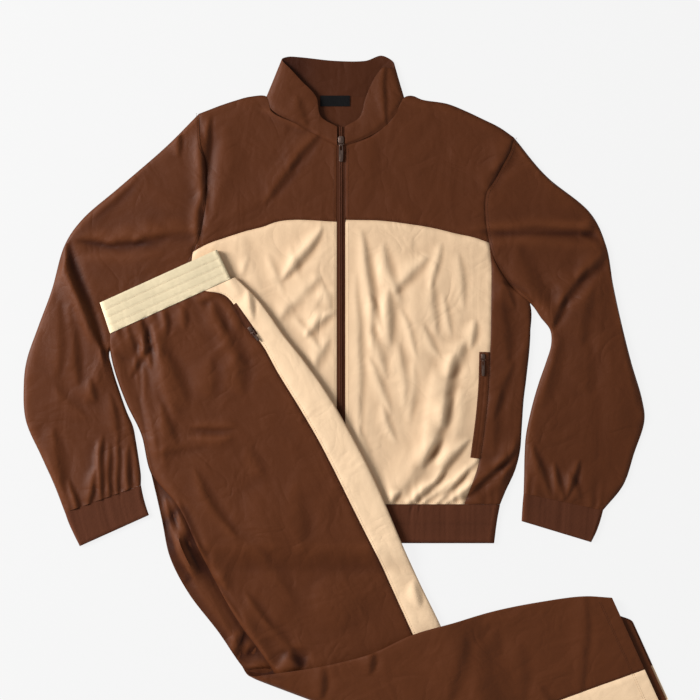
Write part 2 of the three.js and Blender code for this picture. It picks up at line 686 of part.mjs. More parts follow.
// Waistband: a closed ring folded flat in half, four layers on each other.
function waistband() {
  const w = 192;
  const half = [
    [0.9, 8.1], [0, 6.2], [0, 2.6], [0.9, 0.8], [3.2, 0], [50, 0], [100, 0], [150, 0], [w - 4, 0],
    [w - 1.4, 0.5], [w, 2.1], [w - 1.4, 3.7], [w - 4, 4.2], [100, 4.2], [12, 4.2], [11.3, 4.6], [12, 5.0],
    [100, 5.0], [w - 4, 5.0], [w - 1.4, 5.6], [w, 7.0], [w - 1.4, 8.4], [w - 4, 9.0], [160, 9.0], [128, 9.0],
    [96, 9.0], [64, 9.0], [32, 9.0], [3.2, 9.0]
  ];
  const n = half.length;
  const wall = half.map((p, i) => {
    const a = half[(i + n - 1) % n];
    const b = half[(i + 1) % n];
    const u = new THREE.Vector2(p[0] - a[0], p[1] - a[1]).normalize();
    const v = new THREE.Vector2(b[0] - p[0], b[1] - p[1]).normalize();
    const m = new THREE.Vector2(-(u.y + v.y), u.x + v.x).normalize();
    const reach = 1.45 / Math.max(0.75, m.dot(new THREE.Vector2(-u.y, u.x)));
    return [p[0] + m.x * reach, p[1] + m.y * reach];
  });
  const outer = [];
  const inner = [];
  const steps = 4;
  for (let i = 0; i <= steps; i++) {
    const down = lerp(0, bandLength, i / steps);
    const spread = (t) => t * lerp(1, 1.03, i / steps) - 5 * i / steps;
    outer.push(half.map(([t, z]) => legPoint(spread(t), down, z)));
    inner.push(wall.map(([t, z]) => legPoint(spread(t), down, z)));
  }
  return tube('waistband', outer, inner, cream);
}

// A zip slider: a low box with its length along the zip, given where it stands and its turn.
function slider(name, x, y, z, width, length, turn) {
  const geometry = new THREE.BoxGeometry(width, length, sliderWall);
  geometry.rotateZ(turn);
  geometry.translate(x, y, z + sliderWall / 2);
  return metalPiece(name, geometry);
}

// A pull tab with a slot near its hinge end, which is at the given place; it points down the zip.
function pullTab(name, x, y, z, width, length, turn) {
  const w = width / 2;
  const shape = new THREE.Shape();
  shape.moveTo(-w * 0.7, 0);
  shape.lineTo(w * 0.7, 0);
  shape.lineTo(w, -w);
  shape.lineTo(w, -length + w);
  shape.lineTo(w * 0.5, -length);
  shape.lineTo(-w * 0.5, -length);
  shape.lineTo(-w, -length + w);
  shape.lineTo(-w, -w);
  const slot = new THREE.Path();
  slot.moveTo(-w * 0.45, -1.6);
  slot.lineTo(-w * 0.45, -1.6 - length * 0.25);
  slot.lineTo(w * 0.45, -1.6 - length * 0.25);
  slot.lineTo(w * 0.45, -1.6);
  shape.holes.push(slot);
  const geometry = new THREE.ExtrudeGeometry(shape, { depth: tabWall, bevelEnabled: false });
  geometry.rotateZ(turn);
  geometry.translate(x, y, z);
  return metalPiece(name, geometry);
}

function metalPiece(name, geometry) {
  const material = new THREE.MeshStandardMaterial({ color: metal, metalness: 0.6, roughness: 0.4 });
  const mesh = new THREE.Mesh(geometry, material);
  mesh.name = name;
  return mesh;
}

const zipTop = 624;
const zipLine = [[0, 0.5], [0, 200], [0, 400], [0, 596], [0, zipTop]];
const root = new THREE.Group();

root.add(jacketBack());
const zipRightUpper = [[zipHalf, 595.5], [zipHalf, 484.5]];
const zipLeftUpper = [[-zipHalf, 595.5], [-zipHalf, 481.5]];
const yokeTopRight = [[zipHalf, 595.5], ...neckSeamRight.slice(1), ...shoulderRight.slice(1)];
const yokeTopLeft = [[-zipHalf, 595.5], ...neckSeamLeft.slice(1), ...shoulderLeft.slice(1)];
const yokeLowRight = [[zipHalf, 484.5], ...yokeSeamRight.slice(1)];
const yokeLowLeft = [[-zipHalf, 481.5], ...yokeSeamLeft.slice(1)];
root.add(jacketPanel('yoke_right', plan(yokeTopRight, yokeLowRight, zipRightUpper, armholeRightUpper, panelColumns, yokeRows), brown));
root.add(jacketPanel('yoke_left', plan(yokeTopLeft, yokeLowLeft, zipLeftUpper, armholeLeftUpper, panelColumns, yokeRows), brown));

const zipRightLower = [[zipHalf, 484.5], [zipHalf, 58.5]];
const zipLeftLower = [[-zipHalf, 481.5], [-zipHalf, 58.5]];
const hemRight = [[zipHalf, 58.5], [88.5, 58.5], [184.5, 58.5]];
const hemLeft = [[-zipHalf, 58.5], [-91.5, 58.5], [-184.5, 58.5]];
root.add(jacketPanel('front_right', plan(yokeLowRight, hemRight, zipRightLower, creamEdgeRight, panelColumns, frontRows), cream));
root.add(jacketPanel('front_left', plan(yokeLowLeft, hemLeft, zipLeftLower, creamEdgeLeft, panelColumns, frontRows), cream));
const sideHemRight = [[184.5, 58.5], [211.5, 58.5], [238.5, 58.5]];
const sideHemLeft = [[-184.5, 58.5], [-211.5, 58.5], [-238.5, 58.5]];
root.add(jacketPanel('side_right', plan(armholeRightLower, sideHemRight, creamEdgeRight, sideRight, sideColumns, frontRows), brown));
root.add(jacketPanel('side_left', plan(armholeLeftLower, sideHemLeft, creamEdgeLeft, sideLeft, sideColumns, frontRows), brown));

root.add(sleeve('sleeve_right', armholeRightLower, armholeRightUpper, sleeveRightRows, brown));
root.add(sleeve('sleeve_left', armholeLeftLower, armholeLeftUpper, sleeveLeftRows, brown));
root.add(cuff('cuff_right', cuffRightRows, 8, darkBrown));
root.add(cuff('cuff_left', cuffLeftRows, 8, darkBrown));
root.add(hemBand());
root.add(collar());

const labelLine = [[-9, 670.8], [-9, 654.8]];
root.add(strip('neck_label', labelLine, 22, backTop + 0.3, 1.0, 2, black, () => 0));
root.add(strip('pocket_welt_right', [[214.5, 286.5], [213, 235.5], [208.5, 184.5], [201, 127.5]], 7.5, 0.3, 1.0, 8, brown, jacketHeight));
root.add(strip('pocket_welt_left', [[-214.5, 286.5], [-213, 235.5], [-208.5, 184.5], [-201, 127.5]], 7.5, 0.3, 1.0, 8, brown, jacketHeight));
root.add(strip('zip_tapes', zipLine, zipHalf - 0.35, -1.6, 1.2, 26, brown, jacketHeight));
root.add(strip('zip_chain', zipLine, 2.8, -0.1, 1.5, 26, darkBrown, jacketHeight));
trousers().forEach((piece) => root.add(piece));
root.add(waistband());

// Zip sliders and the tabs that hang from them. Each tab turns about its upper end.
const chainTop = jacketHeight(0, 590) + 1.4;
root.add(slider('zip_slider', 0, 604, chainTop + 0.3, 8, 11, 0));
root.add(pullTab('zip_pull', 0, 597, chainTop + tabLift, 6.5, 26, 0));

const pocketTop = jacketHeight(212, 275) + 1.3;
root.add(slider('pocket_slider', 212.5, 280, pocketTop + 0.3, 5.5, 8, 0));
root.add(pullTab('pocket_pull', 212.5, 274.5, pocketTop + tabLift, 4.5, 24, 0));

const trouserZipLine = [[-160.5, 357], [-144, 333.8], [-128.2, 311.2]];
const zipLean = Math.atan2(21, 28);
root.add(strip('trouser_zip', trouserZipLine, 3.2, 0.3, 1.0, 5, darkBrown, trouserTop));
const [footX, footY] = trouserZipLine[2];
const trouserZipTop = trouserTop(footX, footY) + 1.3;
root.add(slider('trouser_slider', footX - 6.9, footY + 9.2, trouserZipTop + 0.3, 5.5, 8, zipLean));
root.add(pullTab('trouser_pull', footX - 3.6, footY + 4.8, trouserZipTop + tabLift, 4.5, 16, zipLean));

const setCentre = new THREE.Vector3();
const box = new THREE.Box3().setFromObject(root);
box.getCenter(setCentre);
root.traverse((piece) => {
  if (piece.isMesh) {
    piece.geometry.translate(-setCentre.x, -setCentre.y, -box.min.z);
  }
});

export default root;
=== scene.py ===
"""A nylon tracksuit laid flat: a zipped jacket with folded trousers across its lower left side."""
import math

import bmesh
import bpy
import numpy as np
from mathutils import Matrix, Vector


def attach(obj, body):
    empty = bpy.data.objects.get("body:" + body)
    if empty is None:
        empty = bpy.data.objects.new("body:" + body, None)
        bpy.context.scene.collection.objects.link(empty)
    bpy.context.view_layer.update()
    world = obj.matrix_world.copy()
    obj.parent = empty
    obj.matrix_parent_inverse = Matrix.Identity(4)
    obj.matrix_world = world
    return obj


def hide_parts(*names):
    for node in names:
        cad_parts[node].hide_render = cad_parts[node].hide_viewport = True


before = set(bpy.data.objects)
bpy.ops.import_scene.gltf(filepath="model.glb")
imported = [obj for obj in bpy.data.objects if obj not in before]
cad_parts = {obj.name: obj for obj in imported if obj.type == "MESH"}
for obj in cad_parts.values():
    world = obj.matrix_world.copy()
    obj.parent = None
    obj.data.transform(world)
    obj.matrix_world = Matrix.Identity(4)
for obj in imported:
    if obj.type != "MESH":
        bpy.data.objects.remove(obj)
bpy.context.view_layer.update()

bl_info = {
    "name": "Laid-out tracksuit",
    "version": (1, 0, 0),
    "blender": (4, 5, 0),
    "location": "View3D > Sidebar > Tracksuit",
    "description": "Cloth, zips, stitching and studio for a two-colour nylon tracksuit laid flat",
    "category": "Object",
}

# Sizes in millimetres. x = 0 is the zip line and y = 0 the jacket's hem edge; ORIGIN is the
# middle of the whole lay, where the frame has its zero.
ORIGIN = (7.3022, 193.5308)
PLY = 1.5
BAND_PLY = 1.8
SEAM_INSET = 0.06
# Where the painted shade inside the collar is darkest.
COLLAR_CORNER = (-75, 715.5)
JACKET_TOP = 6.0
JACKET_EDGE = 3.5
JACKET_ROUND = 11.0
ZIP_HALF = 6.4
NECK_END = 595.5
YOKE_END_RIGHT = 484.5
YOKE_END_LEFT = 481.5
HEM_SEAM = 58.5
CUFF_TOP = 5.2
BED = 7.9
BED_SLOPE = 42.0
STACK = 9.0
STACK_EDGE = 5.5
STACK_ROUND = 16.0
LAYER_GAP = 0.5
FOLD_HOLLOW = 1.0
BAND_LENGTH = 48.0
BAND_END = 48.6
HALF_WAIST = 192.0
# The waistband widens and leans a little towards its lower edge; its stitched rows are shares down.
BAND_FLARE = 0.03
BAND_LEAN = 5
BAND_ROWS = (0.27, 0.52, 0.77)
LEG_WIDTH = 264
LEG_OVER = 14.0
HEM = 1143.0
TROUSERS_X = -360.0
TROUSERS_Y = 360.0
LEG_TURN = math.radians(24.4)
KNEE_LINE = 628.0
STITCH_LIFT = 0.15
# Plan direction towards the key light, and how far a crease fades out past its ends.
TOWARDS_LIGHT = (-0.962, 0.275)
FOLD_REACH = 0.26
# The middle of the camera's view.
VIEW_CENTRE = (13.5, 289.5)
SENSOR = 36.0

# Seam lines of the jacket: points x, y.
NECK_RIGHT = [[7.5, 595.5], [46.5, 610.5], [76.5, 637.5], [94.5, 667.5]]
SHOULDER_RIGHT = [
    [94.5, 667.5], [106.5, 670.5], [121.5, 664.5], [159, 658.5], [186, 648], [211.5, 636],
    [238.5, 622.5], [259.5, 607.5],
]
ARM_RIGHT_UP = [
    [259.5, 607.5], [253.5, 586.5], [241.5, 564], [231, 544.5], [219, 526.5], [216, 510], [217.5, 477],
    [222, 450],
]
ARM_RIGHT_LOW = [[222, 450], [228, 430.5], [238.5, 409.5], [256.5, 384], [283.5, 360]]
NECK_LEFT = [[-7.5, 595.5], [-64.5, 627], [-103.5, 646.5], [-111, 669]]
SHOULDER_LEFT = [[-111, 669], [-136.5, 669], [-159, 663], [-181.5, 655.5], [-201, 648], [-213, 643.5]]
ARM_LEFT_UP = [
    [-213, 643.5], [-210, 597], [-202.5, 574.5], [-201, 544.5], [-202.5, 514.5], [-205.5, 492],
    [-213, 457.5], [-222, 436.5],
]
ARM_LEFT_LOW = [[-222, 436.5], [-237, 409.5], [-256.5, 384], [-283.5, 360]]
YOKE_RIGHT = [
    [7.5, 484.5], [61.5, 483], [99, 478.5], [136.5, 472.5], [174, 463.5], [201, 457.5], [222, 450],
]
YOKE_LEFT = [
    [-7.5, 481.5], [-69, 484.5], [-96, 481.5], [-117, 474], [-141, 468], [-178.5, 456], [-199.5, 448.5],
    [-222, 436.5],
]
CREAM_RIGHT = [
    [222, 450], [225, 417], [225, 364.5], [223.5, 289.5], [219, 214.5], [211.5, 154.5], [205.5, 117],
    [193.5, 82.5], [184.5, 58.5],
]
CREAM_LEFT = [
    [-222, 436.5], [-225, 409.5], [-225, 364.5], [-223.5, 289.5], [-219, 214.5], [-211.5, 154.5],
    [-205.5, 117], [-193.5, 82.5], [-184.5, 58.5],
]
SIDE_RIGHT = [
    [283.5, 360], [283.5, 304.5], [277.5, 244.5], [273.8, 214.5], [270.8, 169.5], [268.5, 139.5],
    [261, 109.5], [246, 76.5], [238.5, 58.5],
]
SIDE_LEFT = [
    [-283.5, 360], [-283.5, 304.5], [-277.5, 244.5], [-274.5, 214.5], [-271.5, 169.5], [-268.5, 139.5],
    [-261, 109.5], [-246, 76.5], [-238.5, 58.5],
]

# Middle lines of the side pockets' welts.
WELT_RIGHT = [[214.5, 286.5], [213, 235.5], [208.5, 184.5], [201, 127.5]]
WELT_LEFT = [[-x, y] for x, y in WELT_RIGHT]

# Sleeves and cuffs, armhole to cuff: inner x, y, outer x, y.
SLEEVE_LEFT = [
    [-292.5, 345, -264, 592.5], [-307.5, 321, -331.5, 534], [-330, 301.5, -388.5, 484.5],
    [-346.5, 288, -414, 447], [-342, 259.5, -433.5, 379.5], [-330, 222, -454.5, 322.5],
    [-321, 196.5, -471, 274.5], [-312, 175.5, -475.5, 237], [-307.5, 153, -472.5, 184.5],
    [-303, 124.5, -448.5, 129], [-300, 102, -429, 85.5], [-300, 87, -414, 46.5],
]
CUFF_LEFT = [
    [-299.9, 86.7, -413.8, 46.2], [-297, 72, -408, 30], [-292.5, 55.5, -399, 10.5],
    [-288, 42, -391.5, -4.5],
]
SLEEVE_RIGHT = [
    [291, 351, 310.5, 547.5], [300, 337.5, 373.5, 495], [313.5, 319.5, 397.5, 445.5],
    [315, 297, 408, 387], [307.5, 271.5, 420, 331.5], [295.5, 237, 435, 271.5],
    [285, 199.5, 451.5, 214.5], [277.5, 163.5, 454.5, 181.5], [275.2, 132, 439.5, 135],
    [274.5, 100.5, 423, 87], [273.8, 75, 393, 49.5],
]
CUFF_RIGHT = [
    [273.8, 74.7, 392.8, 49.2], [272.4, 60, 388.5, 33], [271.5, 46.5, 382.5, 16.5],
    [270.8, 33, 375, 1.5],
]

# Outline of the whole jacket.
JACKET_OUTLINE = [
    [-112.5, 672], [-136.5, 670.5], [-181.5, 657], [-220.5, 640.5], [-246, 621], [-264, 591],
    [-301.5, 559.5], [-361.5, 508.5], [-405, 469.5], [-415.5, 447], [-420, 429], [-441, 369],
    [-465, 289.5], [-475.5, 249], [-475.5, 214.5], [-472.5, 181.5], [-444, 114], [-420, 61.5],
    [-391.5, -4.5], [-288, 42], [-298.5, 69], [-303, 129], [-316.5, 181.5], [-339, 244.5],
    [-348, 286.5], [-330, 300], [-307.5, 319.5], [-286.5, 357], [-283.5, 304.5], [-274.5, 214.5],
    [-268.5, 139.5], [-246, 76.5], [-234, 34.5], [-229.5, 0], [229.5, 0], [234, 34.5], [246, 76.5],
    [268.5, 139.5], [273.8, 214.5], [283.5, 304.5], [286.5, 357], [300, 337.5], [313.5, 319.5],
    [315, 297], [307.5, 271.5], [295.5, 237], [285, 199.5], [277.5, 163.5], [274.5, 100.5], [270.8, 33],
    [375, 1.5], [391.5, 48], [424.5, 91.5], [444, 159], [456, 190.5], [433.5, 289.5], [412.5, 376.5],
    [396, 454.5], [373.5, 493.5], [309, 549], [261, 609], [211.5, 636], [159, 658.5], [106.5, 670.5],
    [94.5, 679.5],
]

# Collar, from one zip end round the back to the other: seam x, y, top edge x, y, height.
COLLAR = [
    [-6, 596.2, -6, 624, 7.4], [-34.5, 610.5, -30, 639, 7.6], [-63, 628.5, -37.5, 669, 7.8],
    [-85.5, 640.5, -60, 693, 8.0], [-102, 651, -76.5, 711, 7.6], [-111, 663, -87, 721.5, 5.6],
    [-111, 670.5, -88.5, 726, 2.4], [-102, 671.2, -81, 729, 0.3], [-61.5, 671.2, -58.5, 728.2, 0],
    [-9, 671.2, -9, 723, 0], [40.5, 671.2, 36, 723, 0], [82.5, 671.2, 63, 730.5, 0.3],
    [93, 672, 79.5, 720, 2.4], [93.8, 666, 78, 711, 5.6], [85.5, 652.5, 64.5, 712.5, 7.6],
    [73.5, 636.8, 52.5, 700.5, 8.0], [55.5, 619.5, 37.5, 669, 7.8], [34.5, 607.5, 28.5, 639, 7.6],
    [6, 596.2, 6, 624, 7.4],
]

# Leg edges down the trousers: down, then the across place of the left leg's inner edge, the
# right leg's inner edge, the brown and cream seam, and the outer edge.
LEG_ROWS = np.array([
    [48.6, -6, -6, 150, 200], [66, -13, -13, 174, 207], [90, -19, -19, 182, 216],
    [119, -23, -23, 184, 223], [157, -25, -25, 195, 230], [204, -24, -24, 199, 242],
    [267, -35, -37, 207, 254], [327, -19, -49, 213, 260], [390, -18, -63, 216, 264],
    [450, -16, -60, 218, 264], [523, -9, -43, 221, 262], [580, 3, -33, 221, 262],
    [645, 12, -14, 221, 264], [710, 20, 4, 221, 264], [780, 26, 16, 221, 264],
    [850, 28, 16, 214, 264], [921, 33, 27, 203, 264], [982, 43, 37, 197, 264],
    [1041, 57, 51, 200, 264], [1104, 76, 70, 205, 264], [1143, 96, 90, 208, 264],
])

# Creases: x, y at both ends, half width, rise. Those that sink have raised shoulders.
JACKET_CREASES = np.array([
    [230, 465, 376, 464, 6, -2.4], [246, 476, 351, 478, 9, 1.4], [238, 450, 358, 446, 10, 1.6],
    [364, 464, 392, 477, 5, -1.6], [364, 464, 394, 448, 5, -1.5], [398, 428, 362, 400, 7, -2.2],
    [362, 400, 333, 364, 7, -1.8], [333, 364, 318, 326, 6, -1.8], [382, 400, 346, 362, 10, 1.4],
    [272, 428, 310, 356, 13, -1.8], [248, 388, 276, 375, 5, -2], [374, 370, 363, 310, 9, -1],
    [368, 290, 369, 237, 10, -0.9], [328, 290, 306, 222, 12, -1.2], [388, 290, 406, 184, 22, 1.6],
    [292, 136, 312, 80, 5, -1.8], [322, 112, 332, 74, 4, -1.6], [354, 116, 340, 76, 4, -1.6],
    [346, 100, 358, 70, 4, -1], [260, 602, 238, 562, 8, -1.5], [238, 566, 224, 532, 7, -0.8],
    [-386, 452, -344, 447, 6, -2.2], [-344, 447, -302, 450, 6, -2.4], [-302, 450, -266, 460, 6, -2.2],
    [-266, 460, -212, 465, 6, -1.4], [-369, 430, -286, 436, 10, 1.4], [-346, 466, -256, 478, 12, 1.3],
    [-412, 454, -352, 296, 7, -4.6], [-416, 402, -382, 320, 8, 1.6], [-244, 616, -242, 586, 4, -1.2],
    [-302, 556, -364, 496, 5, -0.9], [-422, 346, -424, 267, 8, -1.4], [-402, 338, -393, 256, 8, -1.8],
    [-374, 242, -366, 218, 5, -1.4], [-418, 230, -386, 196, 7, -1.2], [-354, 297, -380, 226, 8, 1.2],
    [-344, 214, -334, 166, 5, -1.2], [-429, 154, -416, 76, 9, -1.8], [-404, 88, -393, 52, 4, -1.8],
    [-368, 104, -376, 62, 4, -1.8], [-356, 146, -356, 74, 4, -1.6], [-364, 140, -363, 86, 5, 1.5],
    [-345, 136, -346, 74, 4, -1.5], [-333, 146, -334, 80, 3.5, -1.4], [-316, 136, -315, 82, 4, -1.4],
    [-195, 616, -201, 520, 6, -2.4], [-206, 520, -212, 460, 4, -1.6], [-210, 614, -204, 562, 4, -1.2],
    [-178, 604, -188, 514, 9, 1.2], [-38, 606, -70, 568, 6, -1.6], [-70, 568, -106, 520, 6, -1.3],
    [-110, 646, -64, 624, 6, 1.4], [-118, 506, -190, 466, 12, -0.8], [46, 590, 38, 514, 14, -0.7],
    [-38, 460, -80, 406, 6, -2.2], [-142, 447, -118, 380, 12, -0.6], [-40, 388, -86, 338, 8, -1.6],
    [-16, 340, -46, 314, 6, -1.8], [-22, 298, -44, 256, 7, -1.4], [-62, 364, -16, 380, 10, 1.2],
    [33, 440, 45, 320, 6, -1.8], [68, 436, 86, 376, 6, -1.4], [88, 382, 124, 422, 7, -1.6],
    [74, 370, 76, 310, 6, -1.3], [140, 382, 144, 326, 6, -1.1], [52, 304, 64, 256, 6, -1.2],
    [46, 266, 70, 208, 5, -1.2], [88, 286, 94, 220, 6, -1], [22, 364, 26, 184, 5, -0.9],
    [110, 256, 106, 196, 6, -1], [56, 410, 62, 304, 8, 1.2], [106, 364, 112, 244, 11, 1.2],
    [134, 244, 124, 160, 9, 1.5], [182, 296, 166, 256, 8, -1.8], [166, 266, 158, 190, 9, -2.5],
    [160, 202, 130, 130, 9, -2.8], [136, 142, 76, 70, 9, -2.6], [136, 88, 104, 62, 4, -1.5],
    [159, 86, 124, 60, 4, -1.4], [194, 86, 160, 60, 4, -1.5], [200, 122, 158, 82, 4, -1.4],
    [88, 74, 76, 60, 3.5, -1.2], [46, 364, 58, 326, 4, -1.1], [94, 340, 110, 290, 4, -1],
    [158, 364, 166, 320, 4, -0.9], [128, 320, 146, 286, 4, -1], [28, 170, 46, 122, 5, -1],
    [64, 200, 80, 160, 4, -1], [178, 422, 184, 364, 5, -0.8], [148, 440, 136, 392, 4, -0.9],
    [-106, 422, -88, 380, 4, -0.6], [-74, 440, -62, 400, 4, -0.5], [-28, 388, -16, 356, 4, -0.6],
    [-62, 332, -34, 296, 4, -1], [-142, 422, -158, 388, 4, -0.6], [172, 214, 148, 136, 9, 2.2],
    [134, 122, 92, 70, 8, 1.8], [184, 146, 148, 100, 5, -1.8], [148, 100, 110, 62, 5, -1.6],
    [182, 104, 142, 60, 4, -1.4], [200, 328, 196, 297, 5, -1.4], [234, 412, 256, 364, 6, -2],
    [244, 364, 250, 286, 10, -1.6], [254, 260, 232, 200, 7, -1.1], [238, 214, 230, 146, 8, -1],
    [274, 146, 238, 118, 6, -2.4], [238, 118, 188, 76, 6, -2.8], [266, 122, 220, 86, 7, 1.6],
    [68, 706, 69, 640, 4, -1.4], [-62, 664, -52, 628, 6, -1.2],
])
# Creases of the thigh, of the strip of the other leg beside it, and of the folded lower legs.
THIGH_CREASES = np.array([
    [-298, 332, -292, 286, 4, -1.8], [-290, 320, -284, 274, 4, -1.6], [-262, 344, -260, 314, 4, -1.4],
    [-232, 352, -232, 326, 4, -1.2], [-316, 314, -304, 238, 5, -1.4], [-309, 256, -286, 292, 4, -1.2],
    [-280, 320, -272, 286, 5, 1.6], [-274, 290, -254, 200, 7, 1.6], [-262, 280, -232, 220, 9, -1.6],
    [-194, 268, -194, 226, 9, -1.2], [-152, 274, -146, 232, 9, -1.4], [-190, 356, -172, 320, 6, -1.8],
    [-172, 320, -142, 272, 8, -1.8], [-208, 362, -194, 368, 4, -1.6], [-178, 358, -158, 326, 7, 1.4],
    [-292, 256, -274, 154, 6, -1.6], [-262, 200, -244, 154, 6, -1.1], [-284, 214, -268, 136, 6, 1.2],
    [-214, 172, -166, 172, 5, -1.8], [-218, 159, -172, 160, 5, 1.4], [-262, 134, -212, 142, 6, -1],
    [-208, 98, -164, 26, 6, -1.6], [-164, 26, -118, -14, 8, -0.9], [-134, 140, -118, 110, 7, -0.9],
    [-110, -20, -74, -76, 9, -0.9], [-62, 76, -57, 4, 10, -0.7], [-32, -70, -2, -116, 24, 1.6],
    [-136, 64, -106, 4, 26, 1.4], [-236, 52, -214, 4, 6, -2.4], [-212, -3, -202, -33, 5, -1.8],
    [-200, -26, -178, -62, 6, 1.8], [-190, -62, -154, -110, 4, -2], [-178, -86, -118, -166, 6, 1.8],
    [-136, -82, -110, -118, 5, -1.6], [-110, -118, -76, -154, 6, -1.2], [-74, -164, -62, -182, 9, -4],
    [-118, -146, -98, -146, 8, -0.8], [112, -62, 118, -88, 5, -1.6], [-136, 374, -132, 344, 4, -1.8],
    [-238, -26, -172, -106, 4, 1.6], [-178, -98, -104, -178, 4, 1.6],
])
UNDER_CREASES = np.array([
    [-254, 50, -220, -26, 5, -3.2], [-272, 46, -262, 16, 4, -2.2], [-158, -170, -147, -136, 4, -2.4],
    [-142, -164, -128, -152, 4, -2], [-134, -188, -98, -182, 3.5, -2.6], [-262, 64, -256, 46, 4, 1.6],
    [-246, 40, -242, -3, 4.5, 3], [-242, -3, -224, -44, 4.5, 2.8], [-220, -52, -158, -146, 7, 2],
])

# Painted light: how much lighter each leg panel's cloth is painted than the jacket's.
LEG_PAINTED_LIGHT = {
    "left_leg_front_cloth": 0.3, "left_leg_side_cloth": 0.85, "right_leg_front_cloth": 0.7,
    "right_leg_side_cloth": 1.3, "left_leg_back_cloth": 0.3, "right_leg_back_cloth": 0.3,
}

# Deep places that little light reaches: x, y at both ends, half width, depth of the shade.
HOLLOWS = np.array([
    [-78, -166.5, -60, -178.5, 7, 3.6], [-76.5, -187.5, -55.5, -175.5, 5, 1.6],
    [-232.5, 49.5, -213, -31.5, 7, 2.6], [-265.5, 31.5, -247.5, -16.5, 4, 2.0],
    [-264, 25.5, -241.5, 52.5, 5, 2.2], [-232.5, -58.5, -223.5, -43.5, 4, 1.8],
    [-162, -160.5, -147, -139.5, 5, 2.0], [-151.5, -175.5, -133.5, -154.5, 4, 1.6],
    [-136.5, -190.5, -85.5, -199.5, 5, 1.4], [-277.5, 76.5, -271.5, 34.5, 4, 1.6],
    [-385.5, 471, -319.5, 529.5, 10, 1.3], [-319.5, 529.5, -244.5, 616.5, 9, 1.2],
    [-412.5, 445.5, -391.5, 466.5, 8, 1.2], [171, 265.5, 159, 217.5, 8, 0.5],
    [159, 217.5, 154.5, 169.5, 8, 0.6], [154.5, 169.5, 82.5, 76.5, 8, 0.6],
    [256.5, 598.5, 226.5, 538.5, 8, 0.9], [-207, 613.5, -201, 544.5, 9, 1.0],
    [232.5, 463.5, 370.5, 463.5, 3.5, 1.7], [-406.5, 442.5, -373.5, 355.5, 5, 1.3],
    [-382.5, 450, -286.5, 450, 4, 1.0], [-43.5, 577.5, -97.5, 523.5, 5, 0.6],
    [355.5, 394.5, 322.5, 331.5, 5, 0.8],
])
SHIN_CREASES = np.array([
    [46, -160, 45, -188, 5, -1.6], [182, -148, 166, -220, 11, -1.4], [-26, -190, -28, -224, 5, -1.6],
    [298, -212, 316, -236, 6, -1.2], [232, -134, 238, -160, 7, -0.8], [268, -160, 274, -220, 10, -0.9],
    [208, -160, 200, -220, 13, 1.2], [364, -92, 358, -206, 6, -1], [194, -254, 238, -260, 12, -1],
])


def smooth(k):
    """Eases from 0 to 1 as k does."""
    c = np.clip(k, 0, 1)
    return c * c * (3 - 2 * c)


def turned(inward, low, high, width):
    """Height across a rounded edge of the given width."""
    k = np.clip(inward / width, 0, 1)
    return low + (high - low) * np.sqrt(1 - (1 - k) ** 2)


def resample(points, count):
    """count + 1 evenly spaced points on a smooth line through the given ones."""
    p = np.array(points, float)
    first = 2 * p[0] - p[1]
    last = 2 * p[-1] - p[-2]
    q = np.vstack([first, p, last])
    fine = []
    for i in range(len(p) - 1):
        a, b, c, d = q[i:i + 4]
        t1 = max(np.linalg.norm(b - a), 1e-6) ** 0.5
        t2 = t1 + max(np.linalg.norm(c - b), 1e-6) ** 0.5
        t3 = t2 + max(np.linalg.norm(d - c), 1e-6) ** 0.5
        t = np.linspace(t1, t2, 24, endpoint=False)[:, None]
        a1 = (t1 - t) / t1 * a + t / t1 * b
        a2 = (t2 - t) / (t2 - t1) * b + (t - t1) / (t2 - t1) * c
        a3 = (t3 - t) / (t3 - t2) * c + (t - t2) / (t3 - t2) * d
        b1 = (t2 - t) / t2 * a1 + t / t2 * a2
        b2 = (t3 - t) / (t3 - t1) * a2 + (t - t1) / (t3 - t1) * a3
        fine.append((t2 - t) / (t2 - t1) * b1 + (t - t1) / (t2 - t1) * b2)
    line = np.vstack(fine + [p[-1:]])
    run = np.concatenate([[0], np.cumsum(np.linalg.norm(np.diff(line, axis=0), axis=1))])
    where = np.linspace(0, run[-1], count + 1)
    return np.column_stack([np.interp(where, run, line[:, k]) for k in range(line.shape[1])])


def spacing_count(points, spacing):
    p = np.array(points, float)[:, :2]
    return max(4, int(np.linalg.norm(np.diff(p, axis=0), axis=1).sum() / spacing))


def segment_distance(x, y, x0, y0, x1, y1):
    dx, dy = x1 - x0, y1 - y0
    k = np.clip(((x - x0) * dx + (y - y0) * dy) / (dx * dx + dy * dy), 0, 1)
    return np.hypot(x - x0 - dx * k, y - y0 - dy * k), k


def outline_distance(x, y, outline):
    """Distance to a closed outline, positive outside it."""
    best = np.full(np.shape(x), 1e9)
    inside = np.zeros(np.shape(x), bool)
    for i, (x0, y0) in enumerate(outline):
        x1, y1 = outline[(i + 1) % len(outline)]
        best = np.minimum(best, segment_distance(x, y, x0, y0, x1, y1)[0])
        if y0 != y1:
            crosses = ((y0 > y) != (y1 > y)) & (x < (x1 - x0) * (y - y0) / (y1 - y0) + x0)
            inside ^= crosses
    return np.where(inside, -best, best)


def line_distance(x, y, line):
    best = np.full(np.shape(x), 1e9)
    for (x0, y0), (x1, y1) in zip(line[:-1], line[1:]):
        best = np.minimum(best, segment_distance(x, y, x0, y0, x1, y1)[0])
    return best


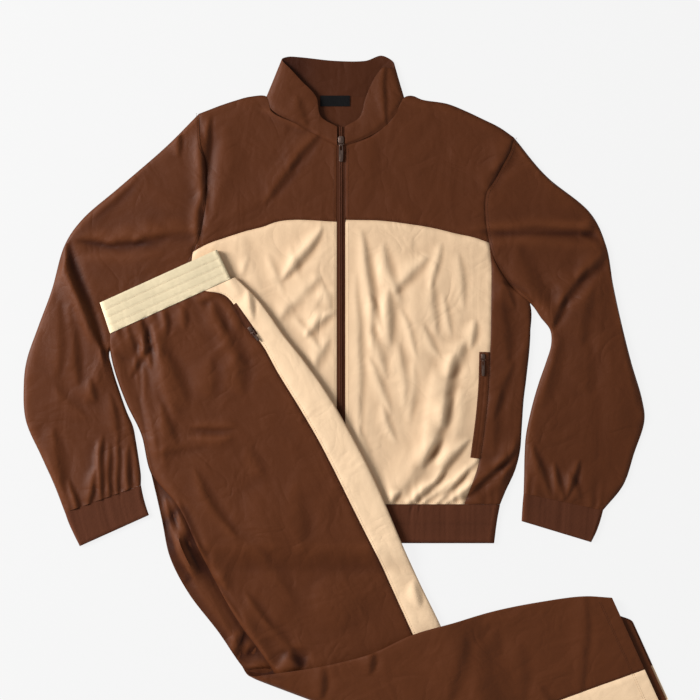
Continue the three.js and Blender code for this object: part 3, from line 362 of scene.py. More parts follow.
def creases(x, y, table, strength=1.0):
    """Height of soft folds, each steep on the side away from the light and gentle towards it."""
    rise = np.zeros(np.shape(x))
    for x0, y0, x1, y1, width, height in table:
        near = (x > min(x0, x1) - 8 * width) & (x < max(x0, x1) + 8 * width)
        near &= (y > min(y0, y1) - 8 * width) & (y < max(y0, y1) + 8 * width)
        if not near.any():
            continue
        px, py = x[near], y[near]
        length = math.hypot(x1 - x0, y1 - y0)
        nx, ny = -(y1 - y0) / length, (x1 - x0) / length
        facing = nx * TOWARDS_LIGHT[0] + ny * TOWARDS_LIGHT[1]
        if facing > 0:
            nx, ny = -nx, -ny
        along = ((px - x0) * (x1 - x0) + (py - y0) * (y1 - y0)) / length ** 2
        share = np.clip((along + FOLD_REACH) / (1 + 2 * FOLD_REACH), 0, 1)
        taper = np.sin(np.pi * share)
        bow = 0.06 * length * math.sin(x0 * 0.71 + y0 * 0.37) * taper
        wander = 0.16 * width * np.sin(along * length / (2.4 * width) + x0 * 0.37)
        d = (px - x0) * nx + (py - y0) * ny + bow + wander
        w = width * (0.35 + 0.65 * taper)
        if height < 0:
            crest = -0.7 * w
            soft = np.exp(-(((d - crest) / (w * np.where(d < crest, 2.7, 1.25))) ** 2))
            slanted = soft - 0.5 * np.exp(-(((d - w) / (1.3 * w)) ** 2))
            even = -np.exp(-((d / (0.9 * w)) ** 2))
        else:
            crest = 0.6 * w
            slanted = np.exp(-(((d - crest) / (w * np.where(d < crest, 1.3, 2.4))) ** 2))
            even = np.exp(-((d / (1.2 * w)) ** 2))
        share = math.sqrt(abs(facing))
        rise[near] += strength * abs(height) * taper ** 0.7 * (share * slanted + (1 - share) * even)
    return rise


def ripple(x, y):
    """The unevenness that thin cloth keeps where it lies almost flat."""
    a = np.sin(x / 31 + 1.7 * np.sin(y / 47 + 0.6)) * np.sin(y / 39 + 1.2 * np.sin(x / 53))
    b = np.sin(x / 13.7 + 1.4 * np.sin(y / 21)) * np.sin(y / 17.3 + 1.1 * np.sin(x / 19 + 2.0))
    return 0.5 * a + 0.2 * b


def leg_place(across, down):
    c, s = math.cos(LEG_TURN), math.sin(LEG_TURN)
    return TROUSERS_X + across * c + down * s, TROUSERS_Y + across * s - down * c


LEG_CURVES = resample(LEG_ROWS, 260)


def leg_row(down):
    d = np.clip(down, LEG_CURVES[0, 0], HEM)
    return [np.interp(d, LEG_CURVES[:, 0], LEG_CURVES[:, k]) for k in range(5)]


def thigh_outline():
    outer = [leg_place(r[4], r[0]) for r in LEG_ROWS if r[0] <= KNEE_LINE + r[4]]
    inner = [leg_place(r[2], r[0]) for r in LEG_ROWS if r[0] <= KNEE_LINE + r[2]]
    knee_corner = leg_place(LEG_WIDTH, KNEE_LINE + LEG_WIDTH)
    return [leg_place(0, 0), leg_place(HALF_WAIST, 0), *outer, knee_corner, *inner[::-1]]


THIGH = thigh_outline()
SEAM_LINES = [
    YOKE_RIGHT, YOKE_LEFT, ARM_RIGHT_UP, ARM_RIGHT_LOW, ARM_LEFT_UP, ARM_LEFT_LOW, CREAM_RIGHT, CREAM_LEFT,
]


def seam_dip(x, y):
    """Cloth is drawn down along a sewn seam, and puckers a little beside it."""
    dip = np.zeros(np.shape(x))
    for number, line in enumerate(SEAM_LINES):
        d = line_distance(x, y, line)
        pucker = 0.5 + 0.5 * np.sin(x / 4.3 + y / 3.1 + number)
        dip -= 0.6 * np.exp(-((d / 2.8) ** 2)) + 0.28 * pucker * np.exp(-((d / 9.0) ** 2))
    return dip


def gathers(x, y):
    """Puckers where the cloth is drawn in along the cuffs and the hem band."""
    rise = 0.0
    hem = [*SIDE_LEFT[-1], *SIDE_RIGHT[-1]]
    for (x0, y0, x1, y1), reach in ((CUFF_LEFT[0], 26), (CUFF_RIGHT[0], 26), (hem, 19)):
        d, k = segment_distance(x, y, x0, y0, x1, y1)
        t = k * math.hypot(x1 - x0, y1 - y0)
        wave = np.sin(t / 2.9 + 1.9 * np.sin(t / 9.3) + d / 17) * (0.65 + 0.35 * np.sin(t / 13.1))
        rise = rise + 0.95 * wave * np.exp(-((d / reach) ** 1.3)) * smooth((d + 0.5) / 3)
    return rise


def jacket_height(x, y):
    x, y = np.asarray(x, float), np.asarray(y, float)
    inward = -outline_distance(x, y, JACKET_OUTLINE)
    clear = smooth((outline_distance(x, y, THIGH) - 2) / 16)
    s = bpy.context.scene.tracksuit_cloth.crease
    rise = (creases(x, y, JACKET_CREASES, s) + gathers(x, y) + ripple(x, y)) * clear * smooth(inward / 12)
    flat = turned(inward, JACKET_EDGE, JACKET_TOP, JACKET_ROUND)
    z = flat + rise + seam_dip(x, y) * clear * smooth(inward / 6)
    # A soft floor keeps the deepest creases above the back panel.
    low = 3.4
    return low + 0.5 * ((z - low) + np.sqrt((z - low) ** 2 + 0.15))


def bed_height(x, y):
    """How high the trousers are carried by the jacket under them."""
    return BED * (1 - smooth(outline_distance(x, y, JACKET_OUTLINE) / BED_SLOPE))


# Making meshes.

def relief(grid, ring=False, rounds=14):
    """How far each point of a grid stands above its surroundings, in millimetres."""
    z = grid[..., 2]
    mean = z.copy()
    for _ in range(rounds):
        wide = np.pad(mean, ((1, 1), (1, 1)), mode="edge")
        if ring:
            wide[:, 0], wide[:, -1] = wide[:, -2], wide[:, 1]
        mean = (wide[:-2, 1:-1] + wide[2:, 1:-1] + wide[1:-1, :-2] + wide[1:-1, 2:]) / 4
    return z - mean


def cloth_object(name, points, faces, uv=None, tone=None):
    """A closed mesh in the frame's metres, turned to face outwards."""
    p = np.array(points, float)
    p[:, 0] -= ORIGIN[0]
    p[:, 1] -= ORIGIN[1]
    p /= 1000
    f = np.array(faces, int)
    a, b, c, d = (p[f[:, k]] for k in range(4))
    volume = np.einsum("ij,ij->i", a, np.cross(b, c)).sum()
    volume += np.einsum("ij,ij->i", a, np.cross(c, d)).sum()
    if volume < 0:
        f = f[:, ::-1]
    mesh = bpy.data.meshes.new(name)
    mesh.from_pydata(p.tolist(), [], f.tolist())
    if uv is not None:
        layer = mesh.uv_layers.new(name="cloth")
        loops = np.array(uv, float)[f.reshape(-1)] / 10
        layer.data.foreach_set("uv", loops.reshape(-1))
    # The relief attribute carries the painted light and shade: height over the surroundings plus painted shade
    # offsets.
    if tone is not None:
        shades = mesh.attributes.new("relief", "FLOAT", "POINT")
        shades.data.foreach_set("value", np.clip(tone, -3.0, 2.0).reshape(-1))
    mesh.shade_smooth()
    mesh.set_sharp_from_angle(angle=math.radians(50))
    obj = bpy.data.objects.new(name, mesh)
    bpy.context.scene.collection.objects.link(obj)
    return obj


def grid_faces(rows, cols, start=0, ring=False):
    i, j = np.meshgrid(np.arange(rows - 1), np.arange(cols if ring else cols - 1), indexing="ij")
    k = (j + 1) % cols
    here, beyond = start + i * cols, start + (i + 1) * cols
    return np.stack([q.reshape(-1) for q in (here + j, here + k, beyond + k, beyond + j)], axis=1)


def slab(name, upper, lower, uv=None, tone=0.0, under_tone=0.0):
    """A sheet with thickness between an upper and a lower grid."""
    rows, cols = upper.shape[:2]
    n = rows * cols
    index = np.arange(n).reshape(rows, cols)
    faces = [grid_faces(rows, cols), grid_faces(rows, cols, n)[:, ::-1]]
    rim = np.concatenate([index[0, :], index[1:, -1], index[-1, -2::-1], index[-2:0:-1, 0]])
    after = np.roll(rim, -1)
    faces.append(np.stack([after, rim, rim + n, after + n], axis=1))
    points = np.concatenate([upper.reshape(-1, 3), lower.reshape(-1, 3)])
    flat = upper[..., :2] if uv is None else uv
    both = np.concatenate([flat.reshape(-1, 2), flat.reshape(-1, 2)])
    # The upper side's relief plus its painted shade offset; the underside gets only its painted shade offset.
    tone = np.concatenate([(relief(upper) + tone).reshape(-1), np.zeros(n) + np.reshape(under_tone, -1)])
    return cloth_object(name, points, np.concatenate(faces), both, tone)


def tube(name, outer, inner, uv=None, tone=0.0):
    """A tube wall between outer and inner closed rings."""
    rows, cols = outer.shape[:2]
    n = rows * cols
    j = np.arange(cols)
    k = (j + 1) % cols
    last = (rows - 1) * cols
    faces = [grid_faces(rows, cols, 0, True), grid_faces(rows, cols, n, True)[:, ::-1]]
    faces.append(np.stack([k, j, j + n, k + n], axis=1))
    faces.append(np.stack([last + j, last + k, last + k + n, last + j + n], axis=1))
    points = np.concatenate([outer.reshape(-1, 3), inner.reshape(-1, 3)])
    flat = outer[..., :2] if uv is None else uv
    both = np.concatenate([flat.reshape(-1, 2), flat.reshape(-1, 2)])
    # The outer side's relief plus its painted shade offset.
    tone = np.concatenate([(relief(outer, True) + tone).reshape(-1), np.zeros(n)])
    return cloth_object(name, points, np.concatenate(faces), both, tone)


def drawn_in(grid, inset=SEAM_INSET):
    """A panel's plan with its border moved in, so that it stays clear of its neighbours."""
    g = grid.copy()

    def pull(edge, inner):
        d = inner - edge
        return edge + d * (inset / np.maximum(np.linalg.norm(d, axis=-1, keepdims=True), 1e-6))

    left, right = pull(grid[:, 0], grid[:, 1]), pull(grid[:, -1], grid[:, -2])
    top, bottom = pull(grid[0], grid[1]), pull(grid[-1], grid[-2])
    g[:, 0] += left - grid[:, 0]
    g[:, -1] += right - grid[:, -1]
    g[0] += top - grid[0]
    g[-1] += bottom - grid[-1]
    return g


def plan(top, bottom, left, right, spacing):
    """Plan of a panel from its four seam lines."""
    across = spacing_count(max((top, bottom), key=lambda e: spacing_count(e, spacing)), spacing)
    along = spacing_count(max((left, right), key=lambda e: spacing_count(e, spacing)), spacing)
    t, b = resample(top, across), resample(bottom, across)
    l, r = resample(left, along), resample(right, along)
    u = np.linspace(0, 1, across + 1)[None, :, None]
    v = np.linspace(0, 1, along + 1)[:, None, None]
    sides = (1 - u) * l[:, None] + u * r[:, None]
    ends = (1 - v) * t[None] + v * b[None]
    corners = (1 - v) * ((1 - u) * t[0] + u * t[-1]) + v * ((1 - u) * b[0] + u * b[-1])
    return drawn_in(sides + ends - corners)


def raised(grid, z):
    """A plan with heights."""
    return np.concatenate([grid, np.broadcast_to(z, grid.shape[:2])[..., None]], axis=-1)


def edge_roll(rows, cols, depth=0.55):
    """Small drop of the outermost points, so that a cut edge looks folded and soft."""
    roll = np.zeros((rows, cols))
    roll[0], roll[-1], roll[:, 0], roll[:, -1] = depth, depth, depth, depth
    return roll


def jacket_panel(name, grid):
    """A front panel of the jacket from its plan."""
    z = jacket_height(grid[..., 0], grid[..., 1])
    top = z - edge_roll(*z.shape)
    low = np.maximum(z - PLY, 1.85)
    return slab(name, raised(grid, top), raised(grid, low), None, hollows(grid[..., 0], grid[..., 1]))


def flat_tube(name, rows, wall, z):
    """A flattened tube from rows of points that run from one folded edge to the other."""
    n = rows.shape[1]
    u = np.arange(n) / (n - 1)
    reach = np.linalg.norm(rows[:, -1] - rows[:, 0], axis=-1)[:, None]
    edge = np.minimum(u, 1 - u)[None] * reach
    high = np.where(edge < 0.5, JACKET_EDGE - 1.0, z)
    low = np.where(edge < 0.5, 0.9, 0.0)
    outer = np.concatenate([raised(rows, high), raised(rows[:, ::-1], low[:, ::-1])], axis=1)
    along = (rows[:, -1] - rows[:, 0]) / reach
    shift = np.clip(2.2 - edge, 0, None)
    side = np.where(u[None] < 0.5, 1, -1)
    plan_in = rows + along[:, None] * (shift * side)[..., None]
    z_in = np.maximum(high - wall, wall + 0.25)
    inner = np.concatenate([raised(plan_in, z_in), raised(plan_in[:, ::-1], wall)], axis=1)
    uv_top = np.stack([u[None] * reach, np.cumsum(np.full_like(edge, 3.0), axis=0)], axis=-1)
    uv = np.concatenate([uv_top, uv_top[:, ::-1]], axis=1)
    return tube(name, outer, inner, uv, hollows(outer[..., 0], outer[..., 1]))


def tube_rows(first, table, spacing):
    """Fine rows between a first row of points and straight rows given by their two ends."""
    n = len(first)
    u = np.linspace(0, 1, n)[:, None]
    rows = [first] + [(1 - u) * np.array(r[:2]) + u * np.array(r[2:]) for r in table]
    rows = np.array(rows)
    flat = rows.reshape(len(rows), -1)
    steps = spacing_count(rows[:, n // 2], spacing)
    return resample(flat, steps).reshape(steps + 1, n, 2)


# The folded trousers.

def leg_rise(across, down):
    """Creases of the thigh."""
    x, y = leg_place(across, down)
    past = (down - across) / math.sqrt(2) - (KNEE_LINE / math.sqrt(2) - 12)
    s = bpy.context.scene.tracksuit_cloth.crease
    rise = creases(x, y, THIGH_CREASES, s) + ripple(x + 40, y - 25) * 1.2
    return rise * (1 - smooth((past + 10) / 10)) * smooth((down - BAND_LENGTH + 1) / 6)


def left_top(across, down):
    """Top of the upper leg in the flat stack."""
    _, inner, _, _, outer = leg_row(down)
    inward = np.minimum(across - inner, outer - across)
    return turned(inward, STACK_EDGE, STACK, STACK_ROUND)


def right_bottom(across, down):
    """Underside of the lower leg in the flat stack."""
    _, _, inner, _, outer = leg_row(down)
    inward = np.minimum(across - inner, outer - across)
    return 1.0 - turned(inward, 0, 1.0, STACK_ROUND)


def leg_seam_dip(across, down):
    """The dip along the side seam and the gathers below the waistband."""
    d = np.abs(across - leg_row(down)[3])
    pucker = 0.5 + 0.5 * np.sin(down / 3.7 + np.sin(down / 17))
    dip = -0.9 * np.exp(-((d / 2.6) ** 2)) - 0.3 * pucker * np.exp(-((d / 9.0) ** 2))
    top = np.clip(down - BAND_LENGTH, 0, None)
    gather = np.sin(across / 4.1 + 1.3 * np.sin(across / 11)) * np.exp(-top / 26)
    return (dip + 0.75 * gather) * smooth((down - BAND_LENGTH + 3) / 5)


def leg_point(across, down, height):
    """The bent stack: a place in the flat stack to a place in space."""
    centre = STACK + FOLD_HOLLOW
    mean = FOLD_HOLLOW + STACK / 2
    start = KNEE_LINE / math.sqrt(2) - mean * math.pi / 2
    past = (down - across) / math.sqrt(2) - start
    angle = np.clip(past / mean, 0, math.pi)
    radius = centre - height
    beyond = np.clip(past - mean * math.pi, 0, None)
    bent = past > 0
    shift = np.where(bent, radius * np.sin(angle) - beyond - past, 0)
    a = across - shift / math.sqrt(2)
    d = down + shift / math.sqrt(2)
    x, y = leg_place(a, d)
    share = height / STACK
    s = bpy.context.scene.tracksuit_cloth.crease
    dip = leg_seam_dip(across, down)
    flat_rise = (leg_rise(across, down) + dip * (past < -4)) * share ** 1.5
    z_flat = height + bed_height(x, y) + flat_rise
    drop = (STACK + 2 * FOLD_HOLLOW) * smooth((a - 262) / 72)
    shin = creases(x, y, SHIN_CREASES, s) + ripple(x - 15, y + 60)
    z_bent = centre - radius * np.cos(angle) - drop * smooth(angle / math.pi)
    z_bent = z_bent + (shin + dip) * (1 - share) ** 1.5 * smooth((angle - 2.6) / 0.5)
    return np.stack([x, y, np.where(bent, z_bent, z_flat)], axis=-1)


def leg_rows_down(spacing):
    """Row places: a share of the way to the knee, then steps past the fold, then to the hem."""
    upper = [("upper", k) for k in np.linspace(0, 1, int(600 / spacing))[:-1]]
    knee = [("knee", k) for k in np.linspace(-18, 24, 30)]
    lower = [("lower", k) for k in np.linspace(0, 1, int(420 / spacing))[1:]]
    return upper + knee + lower


def down_at(row, across):
    """How far down a row lies at a place across the leg."""
    kind, k = row
    knee = KNEE_LINE + across
    if kind == "upper":
        return BAND_END + (knee - 26 - BAND_END) * k
    if kind == "knee":
        return knee + k * math.sqrt(2)
    return knee + 34 + (HEM - knee - 34) * k


def leg_grid(columns, reach, margins, spacing):
    """Places across and down a leg panel; reach lengthens it at the hem."""
    grid = []
    for row in leg_rows_down(spacing):
        a = np.zeros(len(columns))
        for _ in range(14):
            d = down_at(row, a)
            edges = leg_row(d)
            a = np.array([column(edges, i) for i, column in enumerate(columns)])
        shift = np.zeros(len(a))
        shift[0], shift[-1] = margins[0], -margins[1]
        d = d + down_at(row, a + shift) - down_at(row, a)
        if row[0] == "lower" and reach:
            corner = smooth((a - 112) / 26) if reach > 5 else 1.0
            near_hem = np.clip((row[1] - 0.92) / 0.08, 0, 1)
            d = d + (reach + 5) * corner * near_hem - 5 * near_hem
        grid.append(np.stack([a + shift, d], axis=-1))
    return np.array(grid)


def between(first, second, share):
    """A line at a share of the way between two of the leg's edges."""
    return lambda edges, i: edges[first][i] * (1 - share) + edges[second][i] * share


def under_strip(share):
    """A line along the strip of the leg underneath that shows beside the upper leg."""
    def column(edges, i):
        start = min(edges[2][i], edges[1][i] - 1.5)
        if share:
            start += 1.3
        return start + (edges[1][i] - start) * share
    return column


def eased(count, tight=0.35):
    """Shares from 0 to 1 that crowd towards 0, where the folded edge turns."""
    u = np.linspace(0, 1, count)
    return (1 - tight) * u ** 1.6 + tight * u


def hollows(x, y):
    """Shade of the deep places between the layers, where little light gets in."""
    shade_there = np.zeros(np.shape(x))
    for x0, y0, x1, y1, width, depth in HOLLOWS:
        d, k = segment_distance(x, y, x0, y0, x1, y1)
        shade_there -= depth * (0.55 + 0.45 * np.sin(np.pi * k)) * np.exp(-((d / width) ** 2))
    return shade_there


def leg_panel(name, grid, high, low, tucked=False):
    """One panel of the bent stack; tucked is the one whose strip shows beside the thigh, and that strip gets
    painted shade.
    """
    a, d = grid[..., 0], grid[..., 1]
    rim = edge_roll(*a.shape, 0.45)
    top, bottom = high(a, d), low(a, d)
    if name.startswith("left"):
        top = top - rim
    else:
        bottom = bottom + rim * 0.9
    upper = leg_point(a, d, top)
    # Painted shade of the hollows plus the panel's painted light.
    tone = hollows(upper[..., 0], upper[..., 1]) + LEG_PAINTED_LIGHT[name]
    if tucked:
        out = leg_row(d)[1] - a
        show = smooth((out + 3) / 5) * (d < KNEE_LINE + a)
        s = bpy.context.scene.tracksuit_cloth.crease
        rise = creases(upper[..., 0], upper[..., 1], UNDER_CREASES, s)
        upper[..., 2] += show * np.maximum(rise, -1.2)
        # Painted shade on the strip of the under leg, darkest next to the upper leg's edge.
        tone = tone - show * (0.5 + 1.1 * np.exp(-((out / 9) ** 2)))
    lower = leg_point(a, d, bottom)
    under_tone = 0.0
    if name.startswith("right"):
        under_tone = hollows(lower[..., 0], lower[..., 1]) + LEG_PAINTED_LIGHT[name]
    return slab(name, upper, lower, grid, tone, under_tone)


# Finishes.

class Wire:
    """An output socket that takes part in sums."""

    def __init__(self, finish, out):
        self.finish = finish
        self.out = out

    def _math(self, operation, first, second):
        return self.finish.node("ShaderNodeMath", {"operation": operation}, {0: first, 1: second})

    def __add__(self, other):
        return self._math("ADD", self, other)

    __radd__ = __add__

    def __mul__(self, other):
        return self._math("MULTIPLY", self, other)

    __rmul__ = __mul__

    def __sub__(self, other):
        return self._math("SUBTRACT", self, other)

    def __rsub__(self, other):
        return self._math("SUBTRACT", other, self)

    def size(self):
        return self._math("ABSOLUTE", self, 0.0)


class Finish:
    """One material and the nodes that make it."""

    def __init__(self, name):
        self.material = bpy.data.materials.new(name)
        self.material.use_nodes = True
        self.tree = self.material.node_tree
        self.tree.nodes.clear()
        self.output = self.tree.nodes.new("ShaderNodeOutputMaterial")

    def feed(self, node, sockets):
        for name, value in sockets.items():
            if isinstance(value, Wire):
                self.tree.links.new(value.out, node.inputs[name])
            else:
                node.inputs[name].default_value = value

    def node(self, kind, settings=None, sockets=None, out=0):
        """Adds a node: its settings first, then the values or links of its sockets."""
        made = self.tree.nodes.new(kind)
        for name, value in (settings or {}).items():
            setattr(made, name, value)
        self.feed(made, sockets or {})
        return Wire(self, made.outputs[out])

    def coords(self, kind="Object"):
        return self.node("ShaderNodeTexCoord", out=kind)

    def noise(self, scale, detail=3.0, rough=0.55, vector=None, distortion=0.0):
        return self.node("ShaderNodeTexNoise", {}, {
            "Vector": vector or self.coords(), "Scale": scale, "Detail": detail, "Roughness": rough,
            "Distortion": distortion,
        })

    def weave(self, uv, axis, scale, distortion):
        """Even lines across the cloth's own plan."""
        return self.node("ShaderNodeTexWave", {"bands_direction": axis}, {
            "Vector": uv, "Scale": scale, "Distortion": distortion,
        }, out="Fac")

    def relief(self, low, high, least=0.0, most=1.0):
        """The cloth's own relief, in millimetres, plus its painted shade offsets, brought from low...high to
        least...most for the painted light and shade.
        """
        stand = self.node("ShaderNodeAttribute", {"attribute_name": "relief"}, out="Fac")
        return self.node("ShaderNodeMapRange", {"clamp": True}, {
            "Value": stand, "From Min": low, "From Max": high, "To Min": least, "To Max": most,
        })

    def mix(self, factor, first, second, blend="MIX"):
        # Sockets 6 and 7 are the node's two colours, and output 2 is its colour.
        settings = {"data_type": "RGBA", "blend_type": blend}
        return self.node("ShaderNodeMix", settings, {0: factor, 6: first, 7: second}, out=2)

    def close(self, colour, rough, height=None, depth=0.001, strength=1.0, **fixed):
        """Ends the material in one shader; fixed values go on the shader's own sockets."""
        shader = self.tree.nodes.new("ShaderNodeBsdfPrincipled")
        self.feed(shader, {"Base Color": colour, "Roughness": rough})
        self.feed(shader, {name.replace("_", " "): value for name, value in fixed.items()})
        if height is not None:
            bump = self.node("ShaderNodeBump", {}, {"Height": height, "Distance": depth, "Strength": strength})
            self.feed(shader, {"Normal": bump})
        self.tree.links.new(shader.outputs[0], self.output.inputs[0])
        return self.material


def shade(colour, factor):
    return (colour[0] * factor, colour[1] * factor, colour[2] * factor, 1.0)


def nylon(name, colour, crinkle, rough):
    """Thin woven nylon: a fine plain weave, long soft wrinkles, a slight sheen, painted shade in its troughs
    and painted highlight on its ridges.
    """
    f = Finish(name)
    broad = f.noise(7.0, 2.0)
    patch = f.noise(38.0, 3.0, distortion=0.6)
    fine = f.noise(130.0, 3.0, 0.6, distortion=0.3)
    crumple = (f.noise(15.0, 2.0, 0.5, distortion=0.9) - 0.5).size()
    crush = (f.noise(34.0, 2.0, 0.5, distortion=0.7) - 0.5).size()
    uv = f.coords("UV")
    drawn = f.node("ShaderNodeMapping", {}, {"Vector": uv, "Scale": (1.0, 0.3, 1.0)})
    long_folds = f.noise(0.22, 2.0, 0.45, drawn, 1.0)
    wrinkles = f.noise(0.8, 2.0, 0.5, drawn, 1.1)
    tone = f.mix(broad, shade(colour, 0.93), shade(colour, 1.07))
    # Painted shade: darker in the low places of the crumple bump.
    tone = f.mix(crumple * 1.4, shade(colour, 0.9), tone)
    # Painted shade and painted highlight: the relief attribute darkens the colour in troughs and lightens it on
    # ridges.
    light = f.mix(f.relief(-3.0, 1.2), (0.35, 0.25, 0.18, 1.0), (1.13, 1.13, 1.14, 1.0))
    tone = f.mix(1.0, tone, light, "MULTIPLY")
    warp, weft = f.weave(uv, "X", 5.2, 0.6), f.weave(uv, "Y", 5.2, 0.6)
    height = long_folds * 0.7 + wrinkles * 0.08 + crumple * 1.5 + crush * 0.35 + patch * 0.06
    height = height + fine * 0.03 + (warp + weft) * 0.01
    gloss = rough + (patch - 0.5) * 0.12
    sheen = {"Sheen_Weight": 0.02, "Sheen_Roughness": 0.4, "Specular_IOR_Level": 0.13}
    return f.close(tone, gloss, height, 0.0026 * crinkle, 0.9, **sheen)


def knit(name, colour, rough=0.8):
    """Dense knitted or elastic cloth, with painted shade in its troughs and painted highlight on its ridges."""
    f = Finish(name)
    grain = f.noise(260.0, 3.0, 0.7)
    broad = f.noise(24.0, 2.0)
    rows = f.weave(f.coords("UV"), "Y", 3.2, 1.2)
    tone = f.mix(broad, shade(colour, 0.84), shade(colour, 1.14))
    tone = f.mix(grain * 0.4, tone, shade(colour, 0.72))
    # Painted shade and painted highlight from the relief attribute.
    tone = f.mix(1.0, tone, f.relief(-1.4, 1.1, 0.62, 1.12), "MULTIPLY")
    height = grain * 0.5 + rows * 0.14
    return f.close(tone, rough, height, 0.0009, 0.9, Sheen_Weight=0.02, Specular_IOR_Level=0.1)


def thread(name, colour):
    """Twisted sewing thread, also for the zip's moulded coils."""
    f = Finish(name)
    twist = f.noise(900.0, 2.0)
    tone = f.mix(twist, shade(colour, 0.8), shade(colour, 1.15))
    return f.close(tone, 0.62, twist, 0.0002, 0.6, Specular_IOR_Level=0.15)


def coated_metal(name, colour):
    """Dark coated metal, slightly worn."""
    f = Finish(name)
    worn = f.noise(300.0, 3.0)
    tone = f.mix(worn * 0.6, shade(colour, 0.8), shade(colour, 1.5))
    return f.close(tone, 0.34 + worn * 0.16, worn, 0.0001, 0.5, Metallic=0.75)


def paper_floor(name, colour):
    """A pale surface, mostly its own even glow, that still takes a faint shadow."""
    f = Finish(name)
    grain = f.noise(40.0, 3.0)
    base = f.mix(grain, shade(colour, 0.058), shade(colour, 0.062))
    glow = {"Emission_Color": shade(colour, 1.0), "Emission_Strength": 0.925}
    return f.close(base, 0.9, grain, 0.0002, 0.2, Specular_IOR_Level=0.0, **glow)


MATERIALS = {}


def material(key):
    """A finish by its name; the first call makes them all."""
    if not MATERIALS:
        c = bpy.context.scene.tracksuit_cloth
        t = bpy.context.scene.tracksuit_trim
        MATERIALS["brown"] = nylon("brown nylon", c.brown, c.crinkle, 0.52)
        MATERIALS["cream"] = nylon("cream nylon", c.cream, c.crinkle * 0.85, 0.55)
        MATERIALS["rib"] = knit("dark elastic rib", c.rib)
        MATERIALS["band"] = knit("cream elastic", c.band)
        MATERIALS["tape"] = knit("zip tape", t.tape)
        MATERIALS["label"] = knit("woven label", t.label, 0.6)
        MATERIALS["brown thread"] = thread("brown thread", t.brown_thread)
        MATERIALS["cream thread"] = thread("cream thread", t.cream_thread)
        MATERIALS["coil"] = thread("zip coil", t.tape)
        MATERIALS["metal"] = coated_metal("coated zip metal", t.metal)
    return MATERIALS[key]


def settle(obj, finish, slot, body="root", nodes=()):
    """Gives a piece its finish and body, and hides the frame's nodes that it replaces; slot is not used."""
    obj.data.materials.clear()
    obj.data.materials.append(material(finish))
    if nodes:
        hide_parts(*nodes)
    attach(obj, body)
    return obj


def laid(obj, flat, area):
    """Takes a cloth piece's cut, in millimetres, and its area, in square metres, and does nothing with them."""
    flat[0] / 1000
    flat[1] / 1000


# Stitches and zip coils.

def row_tree(name, form):
    """Geometry Nodes that set one small form after another along a line."""
    tree = bpy.data.node_groups.new(name, "GeometryNodeTree")
    face = tree.interface
    face.new_socket("Lines", in_out="INPUT", socket_type="NodeSocketGeometry")
    for title, value in (("Pitch", 0.004), ("Length", 0.003), ("Width", 0.0008), ("Height", 0.0006)):
        socket = face.new_socket(title, in_out="INPUT", socket_type="NodeSocketFloat")
        socket.default_value = value
    face.new_socket("Finish", in_out="INPUT", socket_type="NodeSocketMaterial")
    face.new_socket("Rows", in_out="OUTPUT", socket_type="NodeSocketGeometry")
    n = tree.nodes
    link = tree.links.new
    given, result = n.new("NodeGroupInput"), n.new("NodeGroupOutput")
    curve, spread = n.new("GeometryNodeMeshToCurve"), n.new("GeometryNodeResampleCurve")
    spread.mode = "LENGTH"
    tangent, turn = n.new("GeometryNodeInputTangent"), n.new("FunctionNodeAlignRotationToVector")
    turn.axis = "X"
    size = n.new("ShaderNodeCombineXYZ")
    if form == "stitch":
        piece = n.new("GeometryNodeMeshIcoSphere")
        piece.inputs["Radius"].default_value = 0.5
        piece.inputs["Subdivisions"].default_value = 1
    else:
        piece = n.new("GeometryNodeMeshCylinder")
        piece.inputs["Vertices"].default_value = 8
        piece.inputs["Radius"].default_value = 0.5
        piece.inputs["Depth"].default_value = 1.0
    place, real = n.new("GeometryNodeInstanceOnPoints"), n.new("GeometryNodeRealizeInstances")
    paint = n.new("GeometryNodeSetMaterial")
    link(given.outputs["Lines"], curve.inputs[0])
    link(curve.outputs[0], spread.inputs["Curve"])
    link(given.outputs["Pitch"], spread.inputs["Length"])
    link(tangent.outputs[0], turn.inputs["Vector"])
    link(given.outputs["Length"], size.inputs[0])
    link(given.outputs["Width"], size.inputs[1])
    link(given.outputs["Height"], size.inputs[2])
    link(spread.outputs[0], place.inputs["Points"])
    link(turn.outputs[0], place.inputs["Rotation"])
    link(size.outputs[0], place.inputs["Scale"])
    if form == "stitch":
        link(piece.outputs["Mesh"], place.inputs["Instance"])
    else:
        lay = n.new("GeometryNodeTransform")
        lay.inputs["Rotation"].default_value = (math.pi / 2, 0, 0)
        link(piece.outputs["Mesh"], lay.inputs["Geometry"])
        link(lay.outputs[0], place.inputs["Instance"])
    link(place.outputs[0], real.inputs[0])
    link(real.outputs[0], paint.inputs["Geometry"])
    link(given.outputs["Finish"], paint.inputs["Material"])
    link(paint.outputs[0], result.inputs[0])
    return tree


